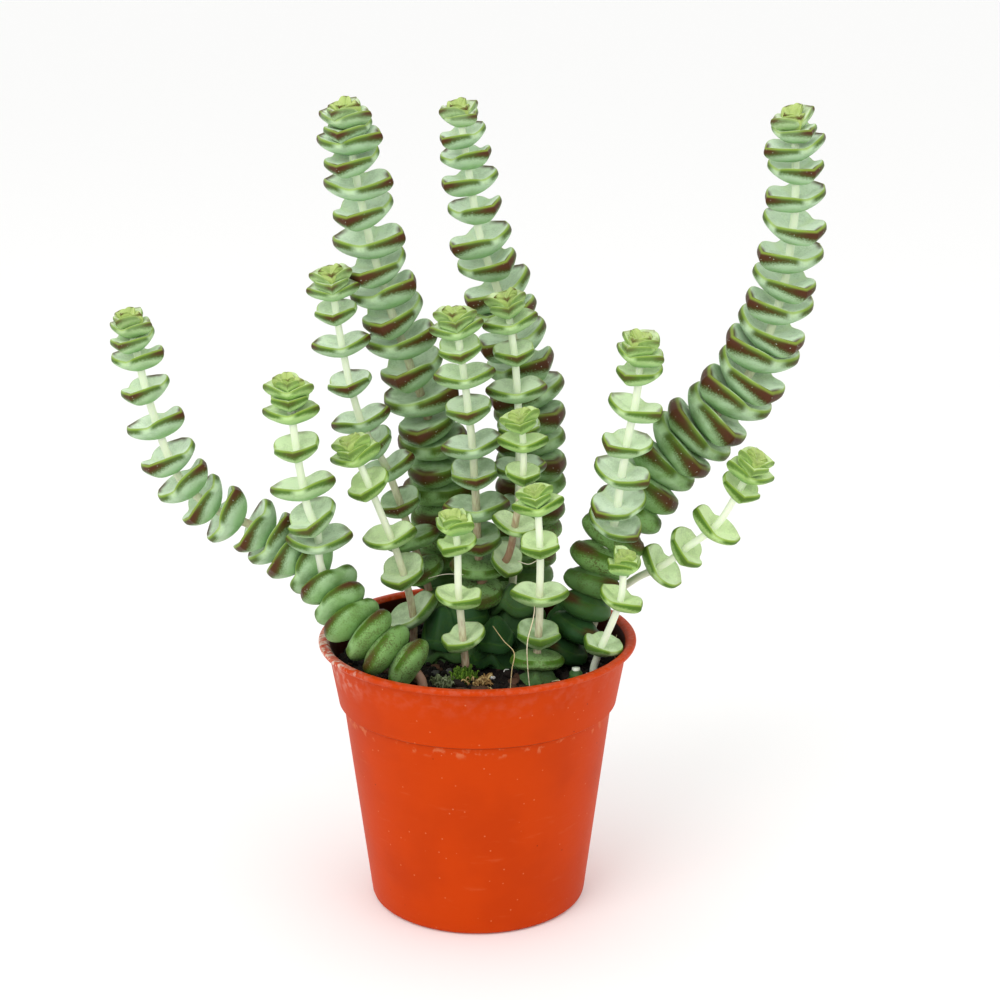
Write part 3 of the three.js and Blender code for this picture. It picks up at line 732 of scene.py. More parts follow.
# How unlike the two leaves of a pair may be, as shares of their length, breadth, span and rise, and
# the height of the wave along their lip as a share of the span
LENGTH_JITTER = 0.035
BREADTH_JITTER = 0.05
SWEEP_JITTER = 0.04
RISE_JITTER = 0.3
LIP_WAVE = 0.01
USUAL_SPAN = 22

# The two small pairs of a bud: their size as a share of the first pair, their depth under the tip
# and their rise in degrees
BUD_PAIRS = [(0.76, 4.2, 30), (0.52, 3.6, 40)]
BUD_AGE = -0.15
BUD_TURN_JITTER = 10
BUD_THICKNESS = 0.42

# Depths under the tip in mm over which leaves lose their pointed young form, unfold, grow thick,
# broaden their bands, age and turn brown, and over which the stem stays hidden in its bud
FRESH_DEPTH = 9
UNFOLD_DEPTH = 2.5
THICK_DEPTH = 70
BAND_DEPTH = 60
AGE_DEPTH = 150
BROWNED_DEPTHS = [0, 8, 30, 70]
BROWNED_SHARES = [0.45, 0.6, 0.8, 1.0]
STEM_TOP = 3.2

# How much lower than the part's the first pair sits, in mm, over how many pairs that fades, and by
# what share the first pair of a slender stem is drawn in
LOWERED = 2.9
LOWERED_PAIRS = 1.2
DRAWN_IN = 0.16

# Heights over the soil in mm up to which leaves are half buried, and up to which painted shade darkens them
BURIED_HEIGHT = 9
PAINTED_SHADE_HEIGHT = 28

# The height in mm from which pairs lean out to the light, over how much height that grows, and the
# depth over which it fades from the tip down
LIGHT_FROM = 80
LIGHT_OVER = 120
LIGHT_DEPTH = 7

# Seeds of the part's draws, and the factor for those of the scene's own, which come from another
# seed so that the part's stay in step
STEM_SEED = 100
BRANCH_SEED = 200
OWN_DRAWS = 7919


def leaf_pair(leaf, spot, turn, span, radius, rise, thickness, plump, fresh, band, draw):
    """One pair as rings of points from the stem under it, out over its hull and lip, and in over
    its upper face. Returns the points and, for each one, its distance from the lip along its skin
    as it would be on a pair of usual span (below zero on the hull), how far below the lip it is as
    a share of the band's width there, and how near it is to a leaf tip."""
    place, up, across = spot
    around = np.arange(LEAF_AROUND) / LEAF_AROUND * 2 * math.pi
    along = np.cos(around)
    near_tip = np.abs(along)
    to_side = np.tanh(along / 0.35)
    half = span / 2

    # The outline has full shoulders, is drawn in at the waist, and is pointed while it is young
    longer = 1 + LENGTH_JITTER * draw() * to_side
    broader = 1 + BREADTH_JITTER * draw() * to_side
    point = 1 + (0.04 + 0.08 * fresh) * (1 - plump) * np.exp(-(1 - near_tip) / (0.02 + 0.02 * fresh))
    outline_x = 0.98 * half * along * longer * point
    waist = 1 - leaf.notch * (1 - plump) * np.exp(-(along / 0.26) ** 2)
    shoulder = (1 - near_tip ** (2.6 - 0.9 * fresh)) ** (0.7 - 0.14 * plump + 0.25 * fresh)
    breadth = 1.05 * leaf.breadth * half * shoulder * waist * broader
    outline_y = np.sign(np.sin(around)) * breadth + SWEEP_JITTER * span * draw() * along * near_tip
    outline = np.stack([outline_x, outline_y], axis=-1)
    inner = radius * 0.8 * unit(outline)

    # Two wings rise to the tips from a hollow middle, with a blunt lip and a keel underneath
    wing = 1 - (1 - np.hypot(near_tip, 0.15) / 0.75) ** 2
    tip_height = half * math.tan(rise) * wing * (1 + RISE_JITTER * draw() * to_side)
    tip_height = tip_height + LIP_WAVE * span * np.sin(2 * around + 3 * draw())
    hollow = leaf.hollow * span * (1 - 3 * plump - 1.6 * fresh)
    lip_width = 0.1 + 0.16 * plump
    lip_depth = 0.36 + 0.1 * plump
    blunt = 3 - 1.5 * (1 - near_tip ** 2) * (1 - plump) - 0.8 * plump
    keel = 0.55 + 0.3 * (1 - near_tip ** 2) * (1 - plump)

    rows = []
    for reach in HULL_ROWS:
        depth = thickness * (lip_depth + (1 - lip_depth) * (1 - reach ** blunt) ** keel)
        rows.append((reach, tip_height * reach ** 1.3 - depth))
    for lean in LIP_TURNS:
        reach = 1 - lip_width * (1 - math.cos(lean))
        rows.append((reach, tip_height - thickness * lip_depth * (1 - math.sin(lean))))
    for share_in in FACE_ROWS:
        reach = (1 - lip_width) * share_in
        rows.append((reach, tip_height * share_in - hollow * (1 - share_in ** 2.2)))
    shape = np.array([np.column_stack([inner + (outline - inner) * reach, height])
                      for reach, height in rows])

    # What the material reads, measured over the skin from the rim
    skin = np.concatenate([np.zeros((1, LEAF_AROUND)),
                           np.cumsum(np.linalg.norm(np.diff(shape, axis=0), axis=2), axis=0)])
    from_rim = (skin - skin[RIM_ROW]) * USUAL_SPAN / span
    below = -from_rim / (band * (0.9 + 1.1 * (1 - shoulder)))

    side = np.cross(up, across)
    leaf_way = across * math.cos(turn) + side * math.sin(turn)
    edge_way = np.cross(up, leaf_way)
    points = place + shape[..., :1] * leaf_way + shape[..., 1:2] * edge_way + shape[..., 2:] * up
    return points, {"from_rim": from_rim, "below": below, "tip": np.broadcast_to(near_tip, from_rim.shape)}


def turned_to_light(leaf, spot, depth):
    """A place on the stem, whose pair leans out to the front light the more the higher and the
    younger it is."""
    place, up, across = spot
    height = np.clip((place[2] - LIGHT_FROM) / LIGHT_OVER, 0, 1)
    lean = math.tan(leaf.light_turn) * (height + math.exp(-depth / LIGHT_DEPTH))
    up = unit(up + np.array([0, -lean, 0]))
    return place, up, unit(across - up * across.dot(up))


def tilted(spot, degrees):
    """A place on the stem whose pair is tilted about the pot's front-to-back line."""
    place, up, across = spot
    tilt = np.array(Euler((0, math.radians(degrees), 0)).to_matrix())
    return place, tilt @ up, tilt @ across


# Points round a stem, and the distance between its rings in mm
STEM_AROUND = 16
STEM_STEP = 1.2


def stem_tube(parts, path, stem, top):
    """The stem itself, from its foot to the top pair, a little uneven all round."""
    depths = np.linspace(path.length, top, max(int((path.length - top) / STEM_STEP), 3))
    place, up, across = path.at(depths)
    side = np.cross(up, across)
    turn = np.arange(STEM_AROUND) / STEM_AROUND * 2 * math.pi
    radius = np.interp(depths, [0, path.length], stem["radii"])[:, None, None]
    wobble = 1 + 0.04 * np.sin(3 * turn[None, :, None] + depths[:, None, None] * 0.35)
    outwards = np.cos(turn)[None, :, None] * across[:, None] + np.sin(turn)[None, :, None] * side[:, None]
    points = place[:, None] + outwards * radius * wobble
    age = np.repeat(depths / path.length * stem["wood"], STEM_AROUND)
    parts.add(points, ring_faces(len(depths), STEM_AROUND), slot=1, age=age)


def pair_age(old, depth, length, above_soil):
    """How old a pair looks, from 0 at the tip to about 1 where it is old or half buried, and more where
    painted shade is added for pairs low in the pot.
    """
    age = min(depth / AGE_DEPTH, 1.0) * 0.25 + old * (depth / length) ** 1.6 * 0.9
    age = max(age, math.exp(-(above_soil / BURIED_HEIGHT) ** 2))
    # Painted shade: pairs low in the pot get an age over 1, which the leaf material paints dark
    return age + 0.45 * old * math.exp(-(above_soil / PAINTED_SHADE_HEIGHT) ** 2)


def leafy_stem(parts, leaf, stem, seed):
    """Adds one stem with its pairs. The draws come in the part's order, so the pairs lie as there."""
    draw = seeded_draw(seed)
    own_draw = seeded_draw(seed * OWN_DRAWS)
    path = StemPath(stem["route"], stem["turn"])
    depths = np.concatenate([[0], np.cumsum(stem["internodes"])]) + BUD_HEIGHT
    stout, sun, old = stem["stout"], stem["browned"], stem["old"]
    for n in reversed(range(len(depths))):
        # As in the part
        depth = depths[n]
        grown = 1 - 0.78 * stem["youth"] * math.exp(-depth / YOUTH_DEPTH)
        span = read_along(stem["spans"], depth / path.length) * grown * (1 + SPAN_JITTER * draw())
        turn = (n % 2) * math.pi / 2 + math.radians(TURN_JITTER * draw())
        radius = np.interp(depth, [0, path.length], stem["radii"])

        # Where the scene's pair sits, and its finer form
        lower = LOWERED * math.exp(-n / LOWERED_PAIRS)
        spot = turned_to_light(leaf, path.at(depth + lower), depth)
        if n in stem.get("tilted", {}):
            spot = tilted(spot, stem["tilted"][n])
        age = pair_age(old, depth, path.length, spot[0][2] - SOIL_TOP)
        plump = float(np.clip((age + 0.15 * stout - 0.5) / 0.4, 0, 1))
        unfolding = math.radians(30 - 12 * stout) * math.exp(-depth / UNFOLD_DEPTH)
        rise = leaf.rise * (1 - plump) ** 2 + unfolding
        fresh = math.exp(-depth / FRESH_DEPTH)
        thickness = leaf.thickness * span + THICK_ADD
        thickness *= 1.08 + 0.42 * stout * min(depth / THICK_DEPTH, 1) + 0.2 * plump
        thickness = min(thickness, 0.9 * stem["internodes"][min(n, len(depths) - 2)] + 0.9)
        shown = span * (1 - DRAWN_IN * (1 - stout) * math.exp(-2 * n))

        # The breadth of its waxless band, how far the sun has browned it, and its wax
        band = 1.4 + 0.5 * stout * min(depth / BAND_DEPTH, 1)
        browned = sun * np.interp(depth, BROWNED_DEPTHS, BROWNED_SHARES) * (1 - 0.5 * plump)
        wax = 0.25 * sun ** 2 + age * (0.25 + 0.75 * sun)
        wax = float(np.interp(wax, [0.02, 0.22], [0, 1]))
        points, marks = leaf_pair(leaf, spot, turn, shown, radius, rise, thickness, plump, fresh, band,
                                  own_draw)
        parts.add(points, LEAF_FACES, age=age, browned=browned, wax=wax, vary=own_draw(), **marks)
    for step, (size, depth, rise) in enumerate(BUD_PAIRS):
        turn = (1 + step) * math.pi / 2 + math.radians(BUD_TURN_JITTER) * own_draw()
        spot = turned_to_light(leaf, path.at(depth), depth)
        thickness = BUD_THICKNESS * span * size
        points, marks = leaf_pair(leaf, spot, turn, span * size, 0.4, math.radians(rise), thickness, 0.3,
                                  1.0, 1.0, own_draw)
        parts.add(points, LEAF_FACES, age=BUD_AGE, browned=sun * 0.9, wax=0.0, vary=own_draw(), **marks)
    stem_tube(parts, path, stem, depths[0] + STEM_TOP)


# The pairs of an old shoot: how far one may be off the quarter turn in degrees, its thickness as a
# share of its span, and its age, which is over 1 so that the leaf material paints them in shade
OLD_TURN_JITTER = 12
OLD_THICKNESS = 0.36
OLD_AGE_AND_SHADE = 1.2


def old_stack(parts, leaf, stack, draw):
    """Adds a short old shoot: thick drooping pairs stacked on a stub of stem in the soil."""
    x, y = stack["foot"]
    top = stack["heights"][-1] + 1.5
    path = StemPath([(x, y, SOIL_TOP - 2), (x, y, (SOIL_TOP + top) / 2), (x, y, top)], stack["turn"])
    for n, (height, span) in enumerate(zip(stack["heights"], stack["spans"])):
        turn = n * math.pi / 2 + math.radians(OLD_TURN_JITTER) * draw()
        spot = path.at(top - height)
        droop = math.radians(-stack["droop"])
        points, marks = leaf_pair(leaf, spot, turn, span, 1.2, droop, OLD_THICKNESS * span, 1.0, 0.0, 1.0,
                                  draw)
        # An age over 1: these pairs are old and painted in shade
        age = OLD_AGE_AND_SHADE + 0.15 * draw()
        parts.add(points, LEAF_FACES, age=age, browned=0.0, wax=1.0, vary=draw(), **marks)
    stem_tube(parts, path, {"radii": (1.1, 1.3), "wood": 1.0}, 0.5)


# The pot

FLOOR = 1.4
BODY_RADIUS = 38.3
COLLAR_TOP = 76.8
COLLAR_FOOT_RADIUS = 39.7
COLLAR_TOP_RADIUS = 42.6
LIP_THICKNESS = 1.5
MID_WALL = 0.6
RIM_INNER_RADIUS = 42.7
DRAIN_HOLES = 6
DRAIN_RADIUS = 3.2
DRAIN_CIRCLE = 19
DRAIN_AROUND = 40
POT_AROUND = 144
SHARP_ANGLE = math.radians(38)


def inner_radius(base, wall, height, z):
    if z < COLLAR_BOTTOM + 1:
        return np.interp(z, [0, COLLAR_BOTTOM], [base, BODY_RADIUS]) - wall
    top = height - LIP_THICKNESS
    return np.interp(z, [COLLAR_BOTTOM, top], [COLLAR_FOOT_RADIUS, COLLAR_TOP_RADIUS]) - wall


def pot_profile(base, wall, height, lip):
    """Radius and height of the wall's section, from the axis underneath, up outside and down inside."""
    top = height - LIP_THICKNESS
    foot = [(0, 0), (base * 0.5, 0), (base - 1.4, 0), (base - 0.6, 0.25), (base, 0.75),
            (base + 0.24, 1.4)]
    body = [(np.interp(z, [1.4, COLLAR_BOTTOM], [base + 0.24, BODY_RADIUS]), z)
            for z in np.linspace(6, COLLAR_BOTTOM - 0.6, 9)]
    step = [(radius, COLLAR_BOTTOM + higher)
            for radius, higher in ((BODY_RADIUS, -0.15), (BODY_RADIUS + 0.15, 0),
                                   (COLLAR_FOOT_RADIUS - 0.45, 0.12), (COLLAR_FOOT_RADIUS - 0.1, 0.4),
                                   (COLLAR_FOOT_RADIUS, 1))]
    collar = [(np.interp(z, [COLLAR_BOTTOM + 1, top], [COLLAR_FOOT_RADIUS, COLLAR_TOP_RADIUS]), z)
              for z in np.linspace(COLLAR_BOTTOM + 3, top - 0.4, 5)]
    under_lip = [(COLLAR_TOP_RADIUS + 0.05, top - 0.1), (COLLAR_TOP_RADIUS + 0.3, top + 0.02),
                 (lip - 0.5, top)]
    arc = [(lip - 0.55 + 0.55 * math.cos(a), top + LIP_THICKNESS / 2 + LIP_THICKNESS / 2 * math.sin(a))
           for a in np.radians(np.linspace(-60, 80, 8))]
    mouth = [(lip - 1.2, height), (RIM_INNER_RADIUS + 0.5, height), (RIM_INNER_RADIUS, height - 0.15),
             (RIM_INNER_RADIUS - 0.35, height - 0.6)]
    inside = [(inner_radius(base, wall, height, z), z)
              for z in (top, 72, 66, COLLAR_BOTTOM + 3, COLLAR_BOTTOM, 45, 30, 15, FLOOR + 1)]
    floor = [(inner_radius(base, wall, height, FLOOR) - 0.6, FLOOR), (base * 0.5, FLOOR), (0, FLOOR)]
    return foot + body + step + collar + under_lip + arc + mouth + inside + floor


def turned_faces(rows, around):
    """Faces of a turned shape whose first and last points lie on the axis, each a single point."""
    faces = [[0, 1 + (i + 1) % around, 1 + i] for i in range(around)]
    faces += [[1 + place for place in face] for face in ring_faces(rows, around, closed_ends=False)]
    last = 1 + (rows - 1) * around
    faces += [[last + i, last + (i + 1) % around, last + around] for i in range(around)]
    return faces


def turned_points(profile, around):
    """Points of a turned shape: the first on the axis, the rings between, and the last on the axis."""
    rings = [ring(radius, height, around) for radius, height in profile[1:-1]]
    return np.vstack([[(0, 0, profile[0][1])], *rings, [(0, 0, profile[-1][1])]])


def cut_drain_holes(piece):
    """Cuts the round holes out of the pot's floor and leaves no modifier behind."""
    drills = MeshParts()
    for i in range(DRAIN_HOLES):
        angle = i / DRAIN_HOLES * 2 * math.pi
        centre = DRAIN_CIRCLE * math.cos(angle), DRAIN_CIRCLE * math.sin(angle)
        ends = [ring(DRAIN_RADIUS, height, DRAIN_AROUND, centre) for height in (-1, FLOOR + 1)]
        drills.add(np.vstack(ends), ring_faces(2, DRAIN_AROUND))
    drill = drills.build("drill", [])
    cut = piece.modifiers.new("drain holes", "BOOLEAN")
    cut.operation = "DIFFERENCE"
    cut.solver = "EXACT"
    cut.object = drill
    graph = bpy.context.evaluated_depsgraph_get()
    mesh = bpy.data.meshes.new_from_object(piece.evaluated_get(graph))
    piece.modifiers.clear()
    piece.data = mesh
    bpy.data.objects.remove(drill)
    mesh.shade_smooth()
    mesh.set_sharp_from_angle(angle=SHARP_ANGLE)


# The stage: metres, and the camera that fits the pot's rim, collar and base in the photograph

FLOOR_REACH = 12
LAMP_TARGET = Vector((0, 0, 0.12))
CAMERA_PLACE = (0.00637, -0.53184, 0.26885)
CAMERA_TILT = math.radians(74.15)
CAMERA_LENS = 71.48
CAMERA_SENSOR = 36


class CRASSULA_OT_stage(bpy.types.Operator):
    """Sets up the floor, the soft studio light and the camera at the photograph's angle"""
    bl_idname = "crassula.stage"
    bl_label = "Stage"

    def execute(self, context):
        stage = context.scene.crassula_stage
        material, put = new_material("matt paper sweep")
        surface = put("BsdfPrincipled", {"Base Color": stage.floor, "Roughness": 0.9})
        put("OutputMaterial", {"Surface": surface})
        mesh = bpy.data.meshes.new("floor")
        corners = [(FLOOR_REACH * x, FLOOR_REACH * y, 0) for x, y in ((-1, -1), (1, -1), (1, 1), (-1, 1))]
        mesh.from_pydata(corners, [], [(0, 1, 2, 3)])
        mesh.materials.append(material)
        floor = linked("floor", mesh)

        world = bpy.data.worlds.new("studio")
        world.use_nodes = True
        background = world.node_tree.nodes["Background"].inputs
        background["Color"].default_value = (1, 1, 1, 1)
        background["Strength"].default_value = stage.sky
        context.scene.world = world
        context.scene.view_settings.view_transform = "Standard"
        for name, power, where, size in (("key", stage.key, (-0.55, -0.75, 0.85), 0.7),
                                         ("fill", stage.fill, (0.75, -0.6, 0.55), 0.8)):
            lamp = linked(name, bpy.data.lights.new(name, "AREA"))
            lamp.data.energy = power
            lamp.data.size = size
            lamp.location = where
            lamp.rotation_euler = (LAMP_TARGET - lamp.location).to_track_quat("-Z", "Y").to_euler()

        camera = linked("camera", bpy.data.cameras.new("camera"))
        camera.data.lens = CAMERA_LENS
        camera.data.sensor_width = CAMERA_SENSOR
        camera.location = CAMERA_PLACE
        camera.rotation_euler = Euler((CAMERA_TILT, 0, 0))
        context.scene.camera = camera
        return {"FINISHED"}


class CRASSULA_OT_pot(bpy.types.Operator):
    """Moulds the nursery pot with its collar, rolled lip and drain holes"""
    bl_idname = "crassula.pot"
    bl_label = "Pot"

    def execute(self, context):
        pot = context.scene.crassula_pot
        sizes = pot.base_diameter / 2, pot.wall, pot.height, pot.rim_diameter / 2
        base, wall, height, lip = [size / MM for size in sizes]
        profile = pot_profile(base, wall, height, lip)
        parts = MeshParts()
        parts.add(turned_points(profile, POT_AROUND), turned_faces(len(profile) - 2, POT_AROUND))
        piece = parts.build("nursery_pot", [pot_material(pot)])
        cut_drain_holes(piece)
        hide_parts("pot")
        return {"FINISHED"}


# The soil and what lies on it, in mm

SOIL_GAP = 0.3
SOIL_AROUND = 120
SOIL_RINGS = 55
LUMP_SIDES = 8
LUMP_LEVELS = 5
LUMP_FACES = ring_faces(LUMP_LEVELS, LUMP_SIDES)
THREAD_SPANS = 8


def soil_height(x, y, relief):
    """Height of the soil's clods at a place, in mm."""
    rough = noise.fractal(Vector((x * 0.16, y * 0.16, 0.0)), 1.0, 2.0, 4)
    return SOIL_TOP + relief * (0.9 * rough + 0.35 * noise.noise(Vector((x * 0.9, y * 0.9, 4.0))))


class CRASSULA_OT_soil(bpy.types.Operator):
    """Fills the pot with potting mix whose top is a field of clods"""
    bl_idname = "crassula.soil"
    bl_label = "Soil"

    def execute(self, context):
        soil = context.scene.crassula_soil
        pot = context.scene.crassula_pot
        base, wall, height = pot.base_diameter / 2 / MM, pot.wall / MM, pot.height / MM
        rings = [ring(inner_radius(base, wall, height, z) - SOIL_GAP, z, SOIL_AROUND)
                 for z in (FLOOR + SOIL_GAP, COLLAR_BOTTOM, COLLAR_BOTTOM + 3, SOIL_TOP - 1)]
        reaches = np.linspace(0, inner_radius(base, wall, height, SOIL_TOP) - SOIL_GAP, SOIL_RINGS + 1)[1:]
        for reach in reaches[::-1]:
            clods = ring(reach, 0.0, SOIL_AROUND)
            clods[:, 2] = [soil_height(x, y, soil.relief / MM) for x, y, _ in clods]
            rings.append(clods)
        parts = MeshParts()
        parts.add(np.vstack(rings), ring_faces(len(rings), SOIL_AROUND))
        piece = parts.build("potting_mix", [soil_material(soil)])
        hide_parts("soil")
        return {"FINISHED"}


def lump(draw, centre, size, flatness):
    """A small broken lump: a ball of points pushed in and out, squashed and turned by the draw."""
    leans = [math.pi * (level + 0.5) / LUMP_LEVELS for level in range(LUMP_LEVELS)]
    points = np.vstack([ring(math.sin(lean), -math.cos(lean), LUMP_SIDES) for lean in leans])
    push = np.array([1 + 0.22 * draw() for _ in points])[:, None]
    stretch = np.array([1 + 0.35 * draw(), 1 + 0.35 * draw(), flatness])
    spin = np.array(Euler((0.5 * draw(), 0.5 * draw(), math.pi * draw())).to_matrix())
    return (points * push * stretch * size / 2) @ spin.T + centre


class CRASSULA_OT_crumbs(bpy.types.Operator):
    """Scatters crumbs of peat and bark, perlite and gravel over the soil"""
    bl_idname = "crassula.crumbs"
    bl_label = "Crumbs"

    def execute(self, context):
        soil = context.scene.crassula_soil
        draw = seeded_draw(4242)

        def anywhere(count):
            found = []
            while len(found) < count:
                x, y = 39 * draw(), 39 * draw()
                if x * x + y * y < 38.5 ** 2:
                    found.append((x, y))
            return found

        # For each kind: its piece and material, two colours, grain in mm, roughness, the places where
        # the photo shows some, how many more lie about, smallest and largest size, and flatness
        kinds = (
            ("peat_crumbs", "peat, crumbled", soil.wet_peat, soil.peat, 0.5, 0.9,
             [], soil.crumbs, (0.9, 3.4), 0.7),
            ("bark_chips", "pine bark, composted", soil.peat, soil.bark, 0.4, 0.8,
             [], soil.crumbs // 4, (1.6, 5.2), 0.35),
            ("perlite_grains", "perlite, expanded", linear("#D9D9D2"), soil.perlite, 0.3, 0.7,
             [(8.1, -9.5), (27.3, -13.4), (30.6, -13.4), (3.1, -23.3), (34, -13)], 8, (1.3, 2.2), 0.85),
            ("gravel_chips", "granite gravel, crushed", linear("#4A4A48"), soil.gravel, 0.3, 0.6,
             [(-7.9, -9.7), (-23, -5), (-21.1, -2.8)], 5, (2.2, 3.4), 0.7),
        )
        for name, stuff, first, second, grain, roughness, seen, more, sizes, flatness in kinds:
            parts = MeshParts()
            for x, y in seen + anywhere(more):
                size = sizes[0] + (sizes[1] - sizes[0]) * abs(draw()) ** 2
                centre = (x, y, soil_height(x, y, soil.relief / MM) + size * flatness * 0.25)
                parts.add(lump(draw, centre, size, flatness), LUMP_FACES, vary=draw())
            piece = parts.build(name, [crumb_material(stuff, first, second, grain, roughness)])
        return {"FINISHED"}


def tube_points(points, radii, around=7):
    """Rings of points along a smooth thread through the points, in mm."""
    curve = smooth_curve(points, THREAD_SPANS)
    radii = np.interp(np.linspace(0, 1, len(curve)), np.linspace(0, 1, len(radii)), radii)
    padded = np.vstack([curve[:1], curve, curve[-1:]])
    ways = unit(padded[2:] - padded[:-2])
    turn = np.arange(around) / around * 2 * math.pi
    # A direction that no thread runs along
    across = np.array([0.83, 0.55, 0.11])
    rings = []
    for place, way, radius in zip(curve, ways, radii):
        across = unit(across - way * across.dot(way))
        side = np.cross(way, across)
        rings.append(place + radius * (np.cos(turn)[:, None] * across + np.sin(turn)[:, None] * side))
    return np.vstack(rings), ring_faces(len(curve), around)


class CRASSULA_OT_moss(bpy.types.Operator):
    """Plants tufts of moss and dead straw at the foot of the front stem"""
    bl_idname = "crassula.moss"
    bl_label = "Moss"

    def tuft(self, parts, draw, curl, centre, spread, count, height):
        """Adds blades that curl apart, each a thin tapering tube through four points."""
        relief = bpy.context.scene.crassula_soil.relief / MM
        for _ in range(count):
            x, y = centre[0] + spread * draw(), centre[1] + 0.6 * spread * draw()
            z = soil_height(x, y, relief) - 0.3
            tall = height * (0.65 + 0.35 * draw())
            lean = curl * draw(), curl * draw()
            route = [(x, y, z), (x + 0.3 * lean[0], y + 0.3 * lean[1], z + 0.55 * tall),
                     (x + lean[0], y + lean[1], z + tall),
                     (x + 1.4 * lean[0], y + 1.4 * lean[1], z + (1.1 - 0.25 * curl) * tall)]
            points, faces = tube_points(route, (0.12, 0.3, 0.22, 0.05), 5)
            parts.add(points, faces, vary=draw())

    def execute(self, context):
        soil = context.scene.crassula_soil
        draw = seeded_draw(77)
        # For each kind: its piece, slot and material, two colours, grain in mm, roughness and curl,
        # and for each clump its centre, spread, number of blades and height in mm
        kinds = (
            ("moss_tuft", "leaves_short_front", "moss, living", linear("#44660F"), soil.moss, 0.5, 0.7,
             0.9, (((-4.4, -17.2), 2.6, 110, 4.6), ((-2.2, -16.5), 1.8, 40, 3.4))),
            ("grey_moss", "potting_soil", "moss, drying grey", linear("#5F6A44"), linear("#98A47E"), 0.5,
             0.85, 1.2, (((-9.6, -18.3), 2.6, 120, 3.4),)),
            ("dry_straw", "potting_soil", "moss and grass, dried", linear("#8A6A3C"), soil.straw, 0.4, 0.8,
             2.2, (((0.4, -18.4), 2.2, 70, 2.6), ((3.1, -22.6), 1.3, 18, 1.2))),
        )
        for name, slot, stuff, first, second, grain, roughness, curl, clumps in kinds:
            parts = MeshParts()
            for clump in clumps:
                self.tuft(parts, draw, curl, *clump)
            material = crumb_material(stuff, first, second, grain, roughness)
            parts.build(name, [material])
        return {"FINISHED"}


# Dead roots and threads: how pale each is, its route from its upper end down, and its radii, in mm
THREADS = [
    (1.0, [(11.4, -5.6, 101.8), (14.2, -11, 102.6), (16.6, -15.6, 105.2)], (0.13, 0.12, 0.13)),
    (-0.2, [(4.4, -16.5, 86.6), (7.4, -22, 84.2), (10.2, -26, 82.2), (9.6, -26.5, 77.5),
            (9.0, -27.5, 70.2)], (0.07, 0.10, 0.14, 0.12)),
    (0.3, [(16.1, -17.4, 95), (15.4, -22, 90.6), (13.8, -25.2, 85), (13.9, -26.6, 78),
           (14.7, -27.6, 70.2)], (0.08, 0.16, 0.14, 0.12)),
    (0.2, [(20.5, -22.5, 72.6), (22.6, -23.3, 73.2), (24.6, -25, 71.2)], (0.06, 0.12, 0.07)),
    (0.0, [(39.2, -2.2, 71), (38.6, -1.2, 75.2), (39.6, 0.8, 77.8)], (0.07, 0.12, 0.06)),
    (0.8, [(-14, 6, 93), (-9, 2, 95.5), (-4, -3, 97)], (0.10, 0.12, 0.08)),
]


class CRASSULA_OT_threads(bpy.types.Operator):
    """Hangs the dead roots and threads between the stems and the soil"""
    bl_idname = "crassula.threads"
    bl_label = "Threads"

    def execute(self, context):
        soil = context.scene.crassula_soil
        material = crumb_material("aerial root, dried", soil.straw, linear("#E9E2CC"), 0.6, 0.7)
        parts = MeshParts()
        for pale, route, radii in THREADS:
            points, faces = tube_points(route, radii)
            parts.add(points, faces, vary=pale)
        piece = parts.build("dried_roots", [material])
        return {"FINISHED"}


class CRASSULA_OT_stems(bpy.types.Operator):
    """Grows every leafy stem with its side branch, leaf pairs and tip"""
    bl_idname = "crassula.stems"
    bl_label = "Leafy stems"

    def execute(self, context):
        leaf = context.scene.crassula_leaf
        materials = [leaf_material(leaf), stem_material(context.scene.crassula_stem)]
        for i, stem in enumerate(STEMS):
            parts = MeshParts()
            leafy_stem(parts, leaf, with_root(stem), STEM_SEED + i)
            if "branch" in stem:
                leafy_stem(parts, leaf, stem["branch"], BRANCH_SEED + i)
            piece = parts.build("leafy_" + stem["name"], materials)
            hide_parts("stem_" + stem["name"])
        return {"FINISHED"}


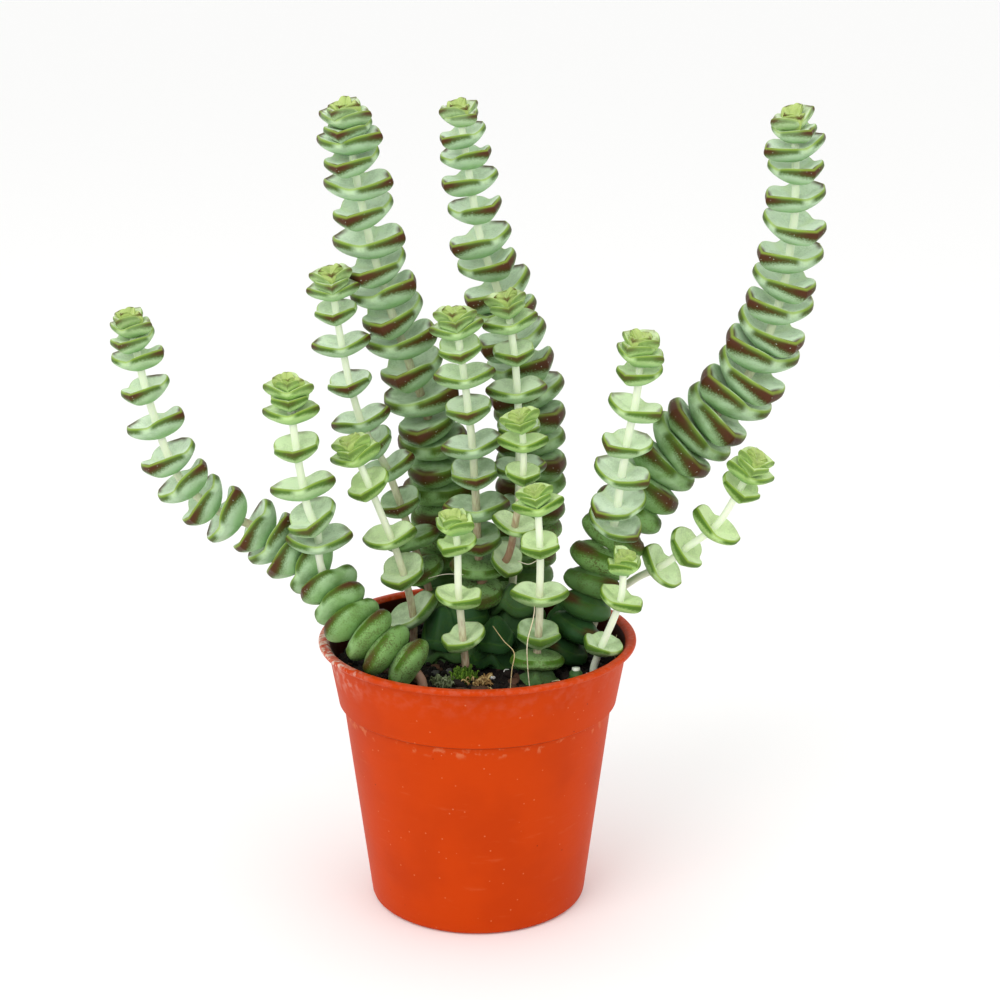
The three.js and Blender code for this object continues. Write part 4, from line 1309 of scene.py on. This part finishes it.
# Short old shoots between the feet of the stems, with the heights and spans of their pairs in mm
OLD_SHOOTS = [
    dict(foot=(5.5, -3), turn=80, droop=38, heights=(73, 78, 83), spans=(15, 16, 14)),
    dict(foot=(16.6, -13.6), turn=84, droop=40, heights=(73, 75.5), spans=(15, 15)),
    dict(foot=(-10, 3.5), turn=75, droop=36, heights=(73.5, 78, 83.5), spans=(15, 16, 15)),
    dict(foot=(9.8, 8), turn=50, droop=32, heights=(73, 78, 83.5, 89), spans=(16, 17, 16, 14)),
    dict(foot=(-3, 6), turn=15, droop=30, heights=(72.5, 77, 82, 87.5), spans=(15, 17, 17, 15)),
    dict(foot=(24.5, 6), turn=60, droop=30, heights=(73, 78.5, 84), spans=(16, 16, 14)),
    dict(foot=(27.4, -16.2), turn=0, droop=12, heights=(71.5, 73.2), spans=(5.5, 4.8)),
]


class CRASSULA_OT_old_shoots(bpy.types.Operator):
    """Grows the short old shoots that stand between the feet of the stems"""
    bl_idname = "crassula.old_shoots"
    bl_label = "Old shoots"

    def execute(self, context):
        leaf = context.scene.crassula_leaf
        draw = seeded_draw(3131)
        parts = MeshParts()
        for stack in OLD_SHOOTS:
            old_stack(parts, leaf, stack, draw)
        piece = parts.build("old_shoots", [leaf_material(leaf), stem_material(context.scene.crassula_stem)])
        return {"FINISHED"}


class CRASSULA_PT_panel(bpy.types.Panel):
    """Lists the pieces of the potted crassula"""
    bl_idname = "CRASSULA_PT_panel"
    bl_label = "Potted crassula"
    bl_space_type = "VIEW_3D"
    bl_region_type = "UI"
    bl_category = "Crassula"

    def draw(self, context):
        for operator in OPERATORS:
            self.layout.operator(operator.bl_idname)


SETTINGS = {
    "crassula_pot": PotSettings,
    "crassula_leaf": LeafSettings,
    "crassula_stem": StemSettings,
    "crassula_soil": SoilSettings,
    "crassula_stage": StageSettings,
}
OPERATORS = (CRASSULA_OT_stage, CRASSULA_OT_pot, CRASSULA_OT_soil, CRASSULA_OT_crumbs, CRASSULA_OT_moss,
             CRASSULA_OT_threads, CRASSULA_OT_stems, CRASSULA_OT_old_shoots)
CLASSES = (*SETTINGS.values(), *OPERATORS, CRASSULA_PT_panel)


def register():
    for each in CLASSES:
        bpy.utils.register_class(each)
    for name, group in SETTINGS.items():
        setattr(bpy.types.Scene, name, PointerProperty(type=group))


def unregister():
    for name in SETTINGS:
        delattr(bpy.types.Scene, name)
    for each in reversed(CLASSES):
        bpy.utils.unregister_class(each)


def main():
    register()
    bpy.ops.crassula.stage()
    bpy.ops.crassula.pot()
    bpy.ops.crassula.soil()
    bpy.ops.crassula.crumbs()
    bpy.ops.crassula.moss()
    bpy.ops.crassula.threads()
    bpy.ops.crassula.stems()
    bpy.ops.crassula.old_shoots()


if __name__ == "__main__":
    main()
